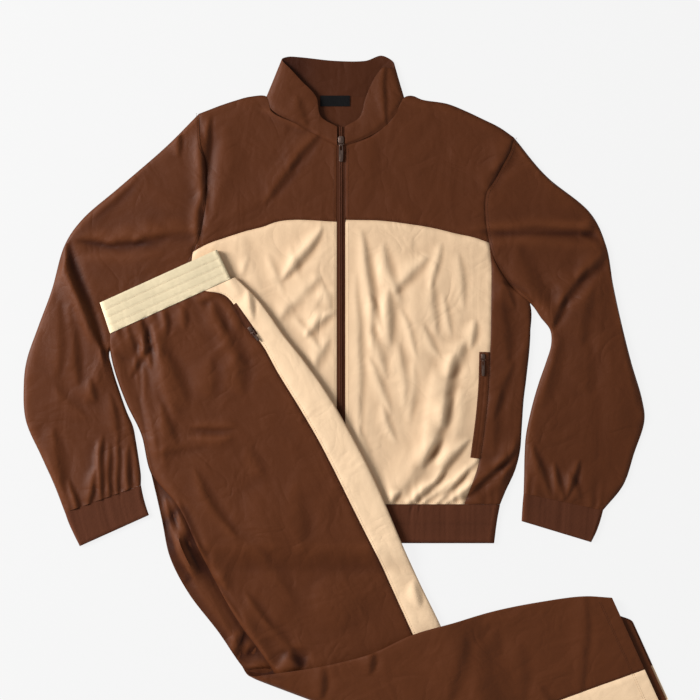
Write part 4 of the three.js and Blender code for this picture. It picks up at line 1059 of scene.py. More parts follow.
def sewn_rows(name, lines, form, pitch, length, width, height, finish, slot, body="root"):
    """Sets stitches or zip coils along lines given in millimetres, as one plain mesh."""
    points, edges = [], []
    for line in lines:
        base = len(points)
        points += [((p[0] - ORIGIN[0]) / 1000, (p[1] - ORIGIN[1]) / 1000, p[2] / 1000) for p in line]
        edges += [(base + k, base + k + 1) for k in range(len(line) - 1)]
    mesh = bpy.data.meshes.new(name + " lines")
    mesh.from_pydata(points, edges, [])
    guide = bpy.data.objects.new(name + " lines", mesh)
    bpy.context.scene.collection.objects.link(guide)
    tree = bpy.data.node_groups.get(form + " row") or row_tree(form + " row", form)
    modifier = guide.modifiers.new("rows", "NODES")
    modifier.node_group = tree
    values = {"Pitch": pitch, "Length": length, "Width": width, "Height": height, "Finish": material(finish)}
    for item in tree.interface.items_tree:
        if item.name in values and item.in_out == "INPUT":
            value = values[item.name]
            modifier[item.identifier] = value if item.name == "Finish" else value / 1000
    bpy.context.view_layer.update()
    graph = bpy.context.evaluated_depsgraph_get()
    made = bpy.data.meshes.new_from_object(guide.evaluated_get(graph))
    bpy.data.objects.remove(guide)
    made.name = name
    made.shade_smooth()
    obj = bpy.data.objects.new(name, made)
    bpy.context.scene.collection.objects.link(obj)
    return settle(obj, finish, slot, body)


def offset_line(line, distance):
    """A line moved sideways in plan."""
    p = np.array(line, float)
    t = np.gradient(p, axis=0)
    t /= np.maximum(np.linalg.norm(t, axis=1, keepdims=True), 1e-6)
    return p + np.stack([-t[:, 1], t[:, 0]], axis=1) * distance


def on_jacket(line, offset=0.0, lift=0.12, trim=(0.0, 0.0)):
    """A line laid on the jacket, with shares of it trimmed off at its ends."""
    fine = resample(line, spacing_count(line, 3.0))
    if offset:
        fine = offset_line(fine, offset)
    n = len(fine)
    fine = fine[int(trim[0] * n):n - int(trim[1] * n)]
    return raised(fine[None], jacket_height(fine[:, 0], fine[:, 1])[None] + lift)[0]


def clear_of_trousers(line, margin=3.0):
    """The runs of a line that the trousers do not cover."""
    d = outline_distance(line[:, 0], line[:, 1], THIGH)
    runs, run = [], []
    for point, gap in zip(line, d):
        if gap > margin:
            run.append(point)
        elif len(run) > 1:
            runs.append(run)
            run = []
        else:
            run = []
    if len(run) > 1:
        runs.append(run)
    return runs


# Small hard pieces.

def ring_outline(width, length, corner, count=32):
    """A rounded rectangle's points, with its middle at zero."""
    points = []
    for k in range(count):
        t = 2 * math.pi * (k + 0.5) / count
        c, s = math.cos(t), math.sin(t)
        x = math.copysign(abs(c) ** corner, c) * width / 2
        y = math.copysign(abs(s) ** corner, s) * length / 2
        points.append((x, y))
    return points


def turned_place(x, y, turn, cx, cy):
    """A point turned about zero and then moved."""
    c, s = math.cos(turn), math.sin(turn)
    return cx + x * c - y * s, cy + x * s + y * c


def hard_object(name, points, faces):
    """A closed hard mesh in the frame's metres."""
    mesh = bpy.data.meshes.new(name)
    places = [((x - ORIGIN[0]) / 1000, (y - ORIGIN[1]) / 1000, z / 1000) for x, y, z in points]
    mesh.from_pydata(places, [], faces)
    work = bmesh.new()
    work.from_mesh(mesh)
    bmesh.ops.recalc_face_normals(work, faces=work.faces)
    work.to_mesh(mesh)
    work.free()
    mesh.shade_smooth()
    mesh.set_sharp_from_angle(angle=math.radians(40))
    obj = bpy.data.objects.new(name, mesh)
    bpy.context.scene.collection.objects.link(obj)
    return obj


def lofted(points, faces, rings, closed=False):
    """Adds rings of points joined into a closed form; closed joins the last ring to the first."""
    base = len(points)
    n = len(rings[0])
    for ring in rings:
        points += ring
    count = len(rings)
    for i in range(count if closed else count - 1):
        for j in range(n):
            k = (j + 1) % n
            low, high = base + i * n, base + ((i + 1) % count) * n
            faces.append((low + j, low + k, high + k, high + j))
    if not closed:
        faces.append(tuple(base + j for j in reversed(range(n))))
        faces.append(tuple(base + (count - 1) * n + j for j in range(n)))


def slider_piece(name, x, y, z, width, length, turn, hinge):
    """A zip slider: two plates with a waist, a raised spine and the pin that holds its tab."""
    points, faces = [], []
    outline = ring_outline(width, length, 0.55)

    def ring(height, scale, shape=outline):
        return [(*turned_place(px * scale, py * scale, turn, x, y), z + height) for px, py in shape]

    lofted(points, faces, [ring(0, 0.9), ring(0.15, 1.0), ring(1.0, 1.0), ring(1.2, 0.92)])
    spine = ring_outline(width * 0.42, length * 0.7, 0.6, 20)
    lofted(points, faces, [ring(1.18, 1.0, spine), ring(1.5, 0.98, spine), ring(1.62, 0.8, spine)])
    hx, hy, hz, half = hinge
    pin = []
    for side in (-1, 1):
        px = side * (half + 0.9)
        pin.append([(*turned_place(px, 0.5 * math.cos(t), turn, hx, hy), hz + 0.5 * math.sin(t))
                    for t in np.linspace(0, 2 * math.pi, 12, endpoint=False)])
    lofted(points, faces, pin)
    for side in (-1, 1):
        arm = []
        for along, wide, low, high in ((0.55, 0.3, hz - 0.55, hz + 0.55), (-1.8, 0.35, z + 0.2, z + 1.2)):
            mid = side * (half + 0.75)
            corners = [(mid - wide, low), (mid + wide, low), (mid + wide, high), (mid - wide, high)]
            arm.append([(*turned_place(cx, -along, turn, hx, hy), cz) for cx, cz in corners])
        lofted(points, faces, arm)
    return hard_object(name, points, faces)


def tab_piece(name, x, y, z, width, length, turn):
    """A pull tab with a slot, its hinge end at x, y and its length down the zip."""
    points, faces = [], []
    centre, hole = -length / 2, -1.6 - length * 0.14
    outer = [(px, py - length / 2) for px, py in ring_outline(width, length, 0.5, 40)]
    slot = [(px, py - 1.6 - length * 0.14) for px, py in ring_outline(width * 0.45, length * 0.28, 0.6, 40)]

    def ring(shape, height, scale, middle):
        places = [(px * scale, middle + (py - middle) * scale) for px, py in shape]
        return [(*turned_place(px, py, turn, x, y), z + height) for px, py in places]

    up = ((0.0, 0.95), (0.25, 1.0), (1.15, 1.0), (1.4, 0.95))
    down = ((1.4, 1.12), (1.1, 1.0), (0.3, 1.0), (0.0, 1.12))
    rings = [ring(outer, height, scale, centre) for height, scale in up]
    rings += [ring(slot, height, scale, hole) for height, scale in down]
    lofted(points, faces, rings, closed=True)
    grip = ring_outline(width * 0.55, length * 0.34, 0.6, 24)
    raised_grip = []
    for height, scale in ((1.35, 1.0), (1.62, 0.96), (1.7, 0.8)):
        places = [(px * scale, py * scale - length * 0.72) for px, py in grip]
        raised_grip.append([(*turned_place(px, py, turn, x, y), z + height) for px, py in places])
    lofted(points, faces, raised_grip)
    return hard_object(name, points, faces)


def strip_grid(line, half, spacing=3.0, across=7):
    """Plan of a strip along a line."""
    fine = resample(line, spacing_count(line, spacing))
    return np.stack([offset_line(fine, half * k) for k in np.linspace(-1, 1, across)], axis=1)


def seam_allowance(name, line, half):
    """The turned-in edges of two panels, under their seam."""
    grid = strip_grid(line, half)
    z = np.minimum(jacket_height(grid[..., 0], grid[..., 1]), JACKET_TOP) - PLY - 0.25
    return settle(slab(name, raised(grid, z), raised(grid, z - 0.4)), "brown", "brown_nylon")


# Settings.

def colour_setting(title, says, default):
    return bpy.props.FloatVectorProperty(
        name=title, description=says, subtype="COLOR", size=3, default=default, min=0, max=1)


class TracksuitCloth(bpy.types.PropertyGroup):
    """The cloth's colours, grid and creases"""
    brown: colour_setting("Brown cloth", "Colour of the brown nylon", (0.094, 0.0262, 0.0075))
    cream: colour_setting("Cream cloth", "Colour of the cream nylon", (0.81, 0.585, 0.375))
    rib: colour_setting("Elastic rib", "Colour of cuffs and hem band", (0.092, 0.0275, 0.0118))
    band: colour_setting("Waistband", "Colour of the trousers' elastic band", (0.77, 0.645, 0.425))
    spacing: bpy.props.FloatProperty(
        name="Cloth grid", description="Distance between cloth points, in millimetres",
        default=2.9, min=1.5, max=12.0,
    )
    crease: bpy.props.FloatProperty(
        name="Crease height", description="Strength of the main creases",
        subtype="FACTOR", default=1.9, min=0, max=2.5,
    )
    crinkle: bpy.props.FloatProperty(
        name="Crinkle", description="Strength of the small crinkles in the finish",
        subtype="FACTOR", default=1.0, min=0, max=3.0,
    )


class TracksuitTrim(bpy.types.PropertyGroup):
    """Zips, thread and label"""
    tape: colour_setting("Zip tape", "Colour of zip tapes and coils", (0.076, 0.022, 0.0085))
    label: colour_setting("Label", "Colour of the neck label", (0.004, 0.004, 0.0045))
    metal: colour_setting("Zip metal", "Colour of sliders and tabs", (0.11, 0.07, 0.055))
    brown_thread: colour_setting("Brown thread", "Thread on brown cloth", (0.085, 0.026, 0.010))
    cream_thread: colour_setting("Cream thread", "Thread on cream cloth", (0.74, 0.56, 0.37))
    stitch: bpy.props.FloatProperty(
        name="Stitch", description="Length of one stitch, in millimetres",
        default=2.7, min=1.0, max=6.0,
    )
    pitch: bpy.props.FloatProperty(
        name="Stitch pitch", description="From stitch to stitch, in millimetres",
        default=3.5, min=1.5, max=8.0,
    )
    coil: bpy.props.FloatProperty(
        name="Coil pitch", description="From zip coil to coil, in millimetres",
        default=1.6, min=0.8, max=4.0,
    )


class TracksuitStage(bpy.types.PropertyGroup):
    """Floor, lights and camera"""
    floor: colour_setting("Floor", "Colour of the surface", (0.92, 0.92, 0.92))
    key: bpy.props.FloatProperty(
        name="Key light", description="Power of the soft light from the upper left, in watts",
        default=292.0, min=0,
    )
    fill: bpy.props.FloatProperty(
        name="Fill light", description="Power of the fill light from the right, in watts",
        default=6.0, min=0,
    )
    sky: bpy.props.FloatProperty(
        name="Room light", description="Strength of the even light from all round",
        default=0.34, min=0,
    )
    height: bpy.props.FloatProperty(
        name="Camera height", description="Camera above the surface",
        unit="LENGTH", default=3.0, min=1.0,
    )
    view: bpy.props.FloatProperty(
        name="View width", description="Width of the surface that the camera takes in",
        unit="LENGTH", default=1.05, min=0.1,
    )


# Operators, one for each piece or group of like pieces.

class TRACKSUIT_OT_jacket_body(bpy.types.Operator):
    """Back, yokes, cream fronts and side panels of the jacket"""
    bl_idname = "tracksuit.jacket_body"
    bl_label = "Jacket body"

    def execute(self, context):
        s = context.scene.tracksuit_cloth.spacing
        right_zip = [[ZIP_HALF, NECK_END], [ZIP_HALF, YOKE_END_RIGHT]]
        left_zip = [[-ZIP_HALF, NECK_END], [-ZIP_HALF, YOKE_END_LEFT]]
        top_right = [[ZIP_HALF, NECK_END], *NECK_RIGHT[1:], *SHOULDER_RIGHT[1:]]
        top_left = [[-ZIP_HALF, NECK_END], *NECK_LEFT[1:], *SHOULDER_LEFT[1:]]
        low_right = [[ZIP_HALF, YOKE_END_RIGHT], *YOKE_RIGHT[1:]]
        low_left = [[-ZIP_HALF, YOKE_END_LEFT], *YOKE_LEFT[1:]]
        yoke = jacket_panel("yoke_right_cloth", plan(top_right, low_right, right_zip, ARM_RIGHT_UP, s))
        laid(settle(yoke, "brown", "brown_nylon", nodes=["yoke_right"]), (255, 222), 0.038)
        yoke = jacket_panel("yoke_left_cloth", plan(top_left, low_left, left_zip, ARM_LEFT_UP, s))
        laid(settle(yoke, "brown", "brown_nylon", nodes=["yoke_left"]), (208, 214), 0.0335)
        right_zip = [[ZIP_HALF, YOKE_END_RIGHT], [ZIP_HALF, HEM_SEAM]]
        left_zip = [[-ZIP_HALF, YOKE_END_LEFT], [-ZIP_HALF, HEM_SEAM]]
        hem_right = [[x, HEM_SEAM] for x in (ZIP_HALF, 88.5, 184.5)]
        hem_left = [[x, HEM_SEAM] for x in (-ZIP_HALF, -91.5, -184.5)]
        front = jacket_panel("front_right_cloth", plan(low_right, hem_right, right_zip, CREAM_RIGHT, s))
        laid(settle(front, "cream", "cream_nylon", nodes=["front_right"]), (220, 428), 0.087)
        front = jacket_panel("front_left_cloth", plan(low_left, hem_left, left_zip, CREAM_LEFT, s))
        laid(settle(front, "cream", "cream_nylon", nodes=["front_left"]), (220, 428), 0.087)
        hem_right = [[x, HEM_SEAM] for x in (184.5, 211.5, 238.5)]
        hem_left = [[x, HEM_SEAM] for x in (-184.5, -211.5, -238.5)]
        side = jacket_panel("side_right_cloth", plan(ARM_RIGHT_LOW, hem_right, CREAM_RIGHT, SIDE_RIGHT, s))
        laid(settle(side, "brown", "brown_nylon", nodes=["side_right"]), (100, 395), 0.0196)
        side = jacket_panel("side_left_cloth", plan(ARM_LEFT_LOW, hem_left, CREAM_LEFT, SIDE_LEFT, s))
        laid(settle(side, "brown", "brown_nylon", nodes=["side_left"]), (100, 400), 0.0194)
        top = [*SHOULDER_LEFT[::-1], [-9, 675.8], *SHOULDER_RIGHT]
        right = [*ARM_RIGHT_UP, *ARM_RIGHT_LOW[1:], *SIDE_RIGHT[1:]]
        left = [*ARM_LEFT_UP, *ARM_LEFT_LOW[1:], *SIDE_LEFT[1:]]
        hem = [[x, HEM_SEAM] for x in (-238.5, -1.5, 238.5)]
        grid = drawn_in(plan(top, hem, left, right, 6.0), 0.7)
        # Painted shade on the back panel's upper side, inside the jacket.
        back = slab("jacket_back_cloth", raised(grid, PLY), raised(grid, 0.0), None, -1.2)
        laid(settle(back, "brown", "brown_nylon", nodes=["jacket_back"]), (570, 610), 0.296)
        return {"FINISHED"}


class TRACKSUIT_OT_sleeves(bpy.types.Operator):
    """Both sleeves, flattened tubes bent at the elbow"""
    bl_idname = "tracksuit.sleeves"
    bl_label = "Sleeves"

    def execute(self, context):
        s = context.scene.tracksuit_cloth.spacing
        for side, low, high, table in (
            ("right", ARM_RIGHT_LOW, ARM_RIGHT_UP, SLEEVE_RIGHT),
            ("left", ARM_LEFT_LOW, ARM_LEFT_UP, SLEEVE_LEFT),
        ):
            first = np.vstack([resample(low, 18)[::-1], resample(high, 42)[::-1][1:]])
            rows = tube_rows(first, table, s)
            step = rows[1] - rows[0]
            rows[0] += step * (0.04 / np.maximum(np.linalg.norm(step, axis=1, keepdims=True), 0.66))
            rows[-1] += (rows[-1] - rows[-2]) * 0.085
            z = jacket_height(rows[..., 0], rows[..., 1])
            obj = flat_tube(f"sleeve_{side}_cloth", rows, PLY, z)
            area = 0.158 if side == "left" else 0.147
            laid(settle(obj, "brown", "brown_nylon", nodes=[f"sleeve_{side}"]), (400, 640), area)
            seam_allowance(f"armhole_allowance_{side}", [*high[1:-1], *low[:-1]], 5.0)
        return {"FINISHED"}


class TRACKSUIT_OT_bands(bpy.types.Operator):
    """Ribbed elastic cuffs and hem band"""
    bl_idname = "tracksuit.bands"
    bl_label = "Cuffs and hem band"

    def execute(self, context):
        for side, table in (("right", CUFF_RIGHT), ("left", CUFF_LEFT)):
            n = 121
            u = np.linspace(0, 1, n)[:, None]
            ends = resample(np.array(table, float), 16)
            rows = np.array([(1 - u) * r[:2] + u * r[2:] for r in ends])
            z = np.minimum(jacket_height(rows[..., 0], rows[..., 1]), CUFF_TOP) + 0.3
            reach = np.linalg.norm(ends[:, 2:] - ends[:, :2], axis=1)[:, None]
            place = u[:, 0][None] * reach
            inside = smooth(np.minimum(place, reach - place) / 6)
            gather = np.sin(place / 1.7 + 1.6 * np.sin(place / 5.3) + ends[:, 1:2] / 31)
            z = z + (0.07 * gather + 0.28 * np.sin(place / 5.6 + 1.6 * np.sin(place / 9))) * inside
            obj = flat_tube(f"cuff_{side}_cloth", rows, BAND_PLY, np.maximum(z, 4.2))
            laid(settle(obj, "rib", "dark_rib", nodes=[f"cuff_{side}"]), (225, 57), 0.0122)
        right = [[238.5, HEM_SEAM], [234, 34.5], [229.5, 0]]
        left = [[-x, y] for x, y in right]
        steps = 18
        l, r = resample(left, steps), resample(right, steps)
        outer, inner = [], []
        for i in range(steps + 1):
            y = (l[0][1] - 0.3) * (1 - i / steps) + l[steps][1] * i / steps
            xl, xr = l[i][0], r[i][0]
            roll = 0.5 * (i in (0, steps)) + 0.35 * math.exp(-((i - steps * 0.5) / 0.9) ** 2)

            def front(x):
                base = np.minimum(jacket_height(x, np.full_like(x, y)), 5.6) + 0.3
                clear = smooth((outline_distance(x, np.full_like(x, y), THIGH) - 2) / 12)
                rib = 0.07 * np.sin(x / 1.5 + 1.5 * np.sin(x / 6.1))
                rib = rib + 0.26 * np.sin(x / 6.3 + 1.6 * np.sin(x / 13)) * (1 - 0.5 * i / steps)
                return base + rib * clear - roll

            x1 = np.linspace(-ZIP_HALF - 0.4, xl + 8, 210)
            x2 = np.linspace(xl + 8, xr - 8, 120)
            x3 = np.linspace(xr - 8, ZIP_HALF + 0.4, 210)
            turn_left = [(xl + 1.6, 4.6, 0.75, -0.6), (xl, 2.6, 1, 0), (xl + 1.6, 0.5, 0.75, 0.6)]
            turn_right = [(xr - 1.6, 0.5, -0.75, 0.6), (xr, 2.6, -1, 0), (xr - 1.6, 4.6, -0.75, -0.6)]
            path = [(x, z, 0, -1) for x, z in zip(x1, front(x1))] + turn_left
            path += [(x, 0, 0, 1) for x in x2] + turn_right
            path += [(x, z, 0, -1) for x, z in zip(x3, front(x3))]
            outer.append([(x, y, z) for x, z, _, _ in path])
            inner.append([(x + nx * BAND_PLY, y, z + nz * BAND_PLY) for x, z, nx, nz in path])
        outer, inner = np.array(outer), np.array(inner)
        run = np.concatenate([[0], np.cumsum(np.linalg.norm(np.diff(outer[0], axis=0), axis=1))])
        uv = np.stack(np.broadcast_arrays(run[None], outer[:, :1, 1]), axis=-1)
        obj = slab("hem_band_cloth", outer, inner, uv)
        laid(settle(obj, "rib", "dark_rib", nodes=["hem_band"]), (955, 58), 0.055)
        return {"FINISHED"}


class TRACKSUIT_OT_collar(bpy.types.Operator):
    """Stand collar round the open neck, and the plain label inside it"""
    bl_idname = "tracksuit.collar"
    bl_label = "Collar"

    def execute(self, context):
        table = np.array(COLLAR, float)
        rows = resample(table, 220)
        lines = 29
        u = np.linspace(-0.04, 1, lines)[None, :, None]
        place = (1 - u) * rows[:, None, 0:2] + u * rows[:, None, 2:4]
        z = np.repeat(rows[:, 4][:, None], lines, axis=1)
        front = smooth((z - 5.0) / 2.0)
        share = u[0, :, 0][None]
        puff = 0.9 * np.sin(np.pi * np.clip(share, 0, 1)) ** 0.6
        puff = puff - 1.5 * np.exp(-(((share + 0.04) / 0.10) ** 2))
        s = context.scene.tracksuit_cloth.crease
        x, y = place[..., 0], place[..., 1]
        rise = creases(x, y, JACKET_CREASES, s) + ripple(x * 1.4, y * 1.4)
        outer = np.concatenate([place, (z + front * (puff + rise * 0.7))[..., None]], axis=-1)
        run, climb = np.gradient(outer, axis=0), np.gradient(outer, axis=1)
        normal = np.cross(run, climb)
        normal /= np.maximum(np.linalg.norm(normal, axis=-1, keepdims=True), 1e-9)
        wall = np.where(np.abs(normal[..., 2:]) > 0.5, BAND_PLY - 0.2, BAND_PLY - 0.6)
        inner = outer + normal * wall
        strides = np.linalg.norm(np.diff(outer[:, 13], axis=0), axis=1)
        length = np.concatenate([[0], np.cumsum(strides)])
        uv = np.stack(np.broadcast_arrays(length[:, None], share * 55), axis=-1)
        # Painted shade on the inner side of the collar, darkest near its left corner.
        corner = np.hypot(place[..., 0] - COLLAR_CORNER[0], place[..., 1] - COLLAR_CORNER[1])
        inside = -1.5 - 1.5 * np.exp(-((corner / 32) ** 2))
        obj = slab("collar_cloth", outer, inner, uv, 0.0, inside)
        laid(settle(obj, "brown", "brown_nylon", nodes=["collar"]), (470, 55), 0.0215)
        seam_allowance("neck_allowance_left", resample(NECK_LEFT, 20)[3:], 6.0)
        seam_allowance("neck_allowance_right", resample(NECK_RIGHT, 20)[3:], 6.0)
        grid = strip_grid([[-9, 670.8], [-9, 654.8]], 22, 1.0, 40)
        z = 1.8 + 0.12 * (1 + np.sin(grid[..., 0] / 6.0))
        obj = slab("neck_label_cloth", raised(grid, z + 0.7), raised(grid, z))
        laid(settle(obj, "label", "label", nodes=["neck_label"]), (44, 16), None)
        return {"FINISHED"}


class TRACKSUIT_OT_legs(bpy.types.Operator):
    """Both trouser legs, folded in half and over again at the knee"""
    bl_idname = "tracksuit.legs"
    bl_label = "Trouser legs"

    def execute(self, context):
        s = context.scene.tracksuit_cloth.spacing
        front = [between(1, 3, k) for k in eased(72)]
        side = [between(3, 4, 1 - k) for k in eased(18)][::-1]
        under = [under_strip(k) for k in np.linspace(0, 1, 11)[:-1]]
        halves = np.concatenate([eased(16)[:-1] * 0.5, 1 - eased(16)[::-1] * 0.5])
        hidden = [between(1, 4, k) for k in halves]

        def left_lower(a, d):
            return left_top(a, d) - PLY

        def right_upper(a, d):
            return right_bottom(a, d) + PLY

        def inner_high(a, d):
            return left_lower(a, d) - LAYER_GAP

        def inner_low(a, d):
            return right_upper(a, d) + LAYER_GAP

        def middle(a, d):
            return (inner_high(a, d) + inner_low(a, d)) / 2

        def left_back_low(a, d):
            return np.maximum(inner_high(a, d) - PLY, middle(a, d) + 0.1)

        def right_back_high(a, d):
            return np.minimum(inner_low(a, d) + PLY, middle(a, d) - 0.1)

        trim = [SEAM_INSET, SEAM_INSET]
        for name, columns, reach, finish, flat, area in (
            ("left_leg_front", front, LEG_OVER, "brown", (290, 1110), 0.223),
            ("left_leg_side", side, LEG_OVER, "cream", (60, 1115), 0.048),
            ("right_leg_front", [*under, *front], 0, "brown", (310, 1095), 0.246),
            ("right_leg_side", side, 0, "cream", (60, 1095), 0.048),
        ):
            high, low = (left_top, left_lower) if name.startswith("left") else (right_upper, right_bottom)
            obj = leg_panel(name + "_cloth", leg_grid(columns, reach, trim, s), high, low)
            laid(settle(obj, finish, finish + "_nylon", nodes=[name]), flat, area)
        trim = [1.2, 1.2]
        grid = leg_grid(hidden, LEG_OVER - 3, trim, s * 2)
        obj = leg_panel("left_leg_back_cloth", grid, inner_high, left_back_low)
        settle(obj, "brown", "brown_nylon", nodes=["inner_leg_layers"])
        laid(obj, (310, 1110), 0.27)
        grid = leg_grid([*under, *hidden], -2, trim, s * 2)
        obj = leg_panel("right_leg_back_cloth", grid, right_back_high, inner_low, True)
        settle(obj, "brown", "brown_nylon", nodes=["inner_leg_layers"])
        laid(obj, (330, 1095), 0.288)
        return {"FINISHED"}


class TRACKSUIT_OT_waistband(bpy.types.Operator):
    """Elastic waistband with sewn channels, folded in half"""
    bl_idname = "tracksuit.waistband"
    bl_label = "Waistband"

    def execute(self, context):
        w = HALF_WAIST
        loop = [(0.9, 8.1), (0, 6.2), (0, 2.6), (0.9, 0.8), (3.2, 0)]
        loop += [(t, 0) for t in np.linspace(20, w - 20, 40)] + [(w - 4, 0)]
        loop += [(w - 1.4, 0.5), (w, 2.1), (w - 1.4, 3.7), (w - 4, 4.2), (100, 4.2), (12, 4.2)]
        loop += [(11.3, 4.6), (12, 5.0)]
        loop += [(100, 5.0), (w - 4, 5.0), (w - 1.4, 5.6), (w, 7.0), (w - 1.4, 8.4), (w - 4, 9.0)]
        loop += [(t, 9.0) for t in np.linspace(w - 6, 6, 150)] + [(3.2, 9.0)]
        loop = np.array(loop)
        before, after = loop - np.roll(loop, 1, axis=0), np.roll(loop, -1, axis=0) - loop
        before /= np.linalg.norm(before, axis=1, keepdims=True)
        after /= np.linalg.norm(after, axis=1, keepdims=True)
        m = np.stack([-(before[:, 1] + after[:, 1]), before[:, 0] + after[:, 0]], axis=1)
        m /= np.linalg.norm(m, axis=1, keepdims=True)
        reach = 1.45 / np.maximum(0.75, m[:, 0] * -before[:, 1] + m[:, 1] * before[:, 0])
        wall = loop + m * reach[:, None]
        steps = 40
        outer, inner = [], []
        for i in range(steps + 1):
            k = i / steps
            down = BAND_LENGTH * k
            t = loop[:, 0] * (1 + BAND_FLARE * k) - BAND_LEAN * k
            t2 = wall[:, 0] * (1 + BAND_FLARE * k) - BAND_LEAN * k
            top = loop[:, 1] > 8.9
            channel = sum(math.exp(-((k - c) / 0.035) ** 2) for c in (0.0, *BAND_ROWS, 1.0))
            swell = 0.22 * (1 - channel)
            gather = np.sin(loop[:, 0] / 2.3 + 1.2 * np.sin(loop[:, 0] / 7 + 3 * k))
            gather = gather * 0.05 * (1 - 0.4 * channel)
            ends = smooth(np.minimum(loop[:, 0], w - loop[:, 0]) / 8)
            rise = np.where(top, swell - 0.12 * channel + gather * ends, 0)
            d = np.full(len(loop), down)
            for rings, across, height, share in ((outer, t, loop[:, 1], 1.0), (inner, t2, wall[:, 1], 0.8)):
                ring = leg_point(across, d, height)
                ring[:, 2] += rise * share
                rings.append(ring)
        outer, inner = np.array(outer), np.array(inner)
        run = np.concatenate([[0], np.cumsum(np.linalg.norm(np.diff(loop, axis=0), axis=1))])
        uv = np.stack(np.broadcast_arrays(run[None], np.linspace(0, BAND_LENGTH, steps + 1)[:, None]), axis=-1)
        obj = tube("waistband_cloth", outer, inner, uv)
        laid(settle(obj, "band", "cream_band", nodes=["waistband"]), (760, 48), None)
        return {"FINISHED"}


def trouser_top(x, y):
    """Height of the upper leg at a place in plan, above the knee."""
    c, s = math.cos(LEG_TURN), math.sin(LEG_TURN)
    dx, dy = np.asarray(x) - TROUSERS_X, np.asarray(y) - TROUSERS_Y
    a, d = dx * c + dy * s, dx * s - dy * c
    return leg_point(a, d, left_top(a, d))[..., 2]


class TRACKSUIT_OT_zips(bpy.types.Operator):
    """Front zip, pocket welts and zips, with their sliders and tabs"""
    bl_idname = "tracksuit.zips"
    bl_label = "Zips"

    def execute(self, context):
        trim = context.scene.tracksuit_trim
        line = [[0, 0.5], [0, 200], [0, 400], [0, 596], [0, 624]]
        grid = strip_grid(line, ZIP_HALF - 0.35, 3.0, 13)
        y = grid[..., 1]
        z = jacket_height(np.zeros_like(y), y)
        z = np.where(y > 590, np.minimum(z, JACKET_TOP), z)
        obj = slab("zip_tapes_cloth", raised(grid, z - 0.4), raised(grid, z - 1.6))
        laid(settle(obj, "tape", "zip_tape", nodes=["zip_tapes"]), (12, 624), None)
        chain = resample([[0, 1], [0, 623]], 300)
        zc = np.minimum(jacket_height(chain[:, 0], chain[:, 1]), 6.3) + 0.25
        rows = []
        for side in (-1.25, 1.25):
            rows.append(np.column_stack([chain[:, 0] + side, chain[:, 1], zc]))
        length = trim.coil * 0.78
        obj = sewn_rows("zip_chain_coils", rows, "coil", trim.coil, length, 2.4, 1.3, "coil", "zip_teeth")
        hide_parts("zip_chain")
        zip_top = 7.4
        obj = slider_piece("zip_slider_metal", 0, 604, zip_top + 0.3, 8, 11, 0, (0, 597, zip_top + 1.6, 3.25))
        settle(obj, "metal", "zip_metal", nodes=["zip_slider"])
        obj = tab_piece("zip_pull_metal", 0, 597, zip_top + 0.9, 6.5, 26, 0)
        settle(obj, "metal", "zip_metal", "zip_tab", ["zip_pull"])

        for side, welt in (("right", WELT_RIGHT), ("left", WELT_LEFT)):
            grid = strip_grid(welt, 8.4, 2.0, 17)
            grid[..., 0] += 0.9 if side == "right" else -0.9
            x, y = grid[..., 0], grid[..., 1]
            share = np.linspace(-1, 1, 17)[None]
            lips = 0.14 * np.exp(-(((np.abs(share) - 0.45) / 0.3) ** 2)) - 0.22 * np.exp(-((share / 0.14) ** 2))
            inner = share if side == "right" else -share
            z = jacket_height(x, y) + 0.35 + (0.45 + lips) * (1 - share ** 6)
            z = z - 0.75 * smooth((inner - 0.62) / 0.38)
            z = np.minimum(z, 7.3) if side == "left" else z
            obj = slab(f"pocket_welt_{side}_cloth", raised(grid, z), raised(grid, z - 0.5))
            settle(obj, "brown", "brown_nylon", nodes=[f"pocket_welt_{side}"])
            laid(obj, (15, 160), None)
        top = 7.3
        hinge = (212.5, 274.5, top + 1.6, 2.25)
        obj = slider_piece("pocket_slider_metal", 212.5, 280, top + 0.3, 5.5, 8, 0, hinge)
        settle(obj, "metal", "zip_metal", nodes=["pocket_slider"])
        obj = tab_piece("pocket_pull_metal", 212.5, 274.5, top + 0.9, 4.5, 24, 0)
        settle(obj, "metal", "zip_metal", "pocket_tab", ["pocket_pull"])

        line = [[-160.5, 357], [-144, 333.8], [-128.2, 311.2]]
        lean = math.atan2(21, 28)
        grid = strip_grid(line, 5.0, 1.5, 9)
        z = trouser_top(grid[..., 0], grid[..., 1])
        swell = 0.45 * (1 - np.linspace(-1, 1, 9)[None] ** 4)
        obj = slab("trouser_zip_cloth", raised(grid, z + 0.4 + swell), raised(grid, z + 0.2))
        laid(settle(obj, "tape", "zip_tape", nodes=["trouser_zip"]), (10, 53), None)
        top = 18.2
        x, y = line[2]
        hinge = (x - 3.6, y + 4.8, top + 1.6, 2.25)
        obj = slider_piece("trouser_slider_metal", x - 6.9, y + 9.2, top + 0.3, 5.5, 8, lean, hinge)
        settle(obj, "metal", "zip_metal", nodes=["trouser_slider"])
        obj = tab_piece("trouser_pull_metal", x - 3.6, y + 4.8, top + 0.9, 4.5, 16, lean)
        settle(obj, "metal", "zip_metal", "trouser_tab", ["trouser_pull"])
        return {"FINISHED"}


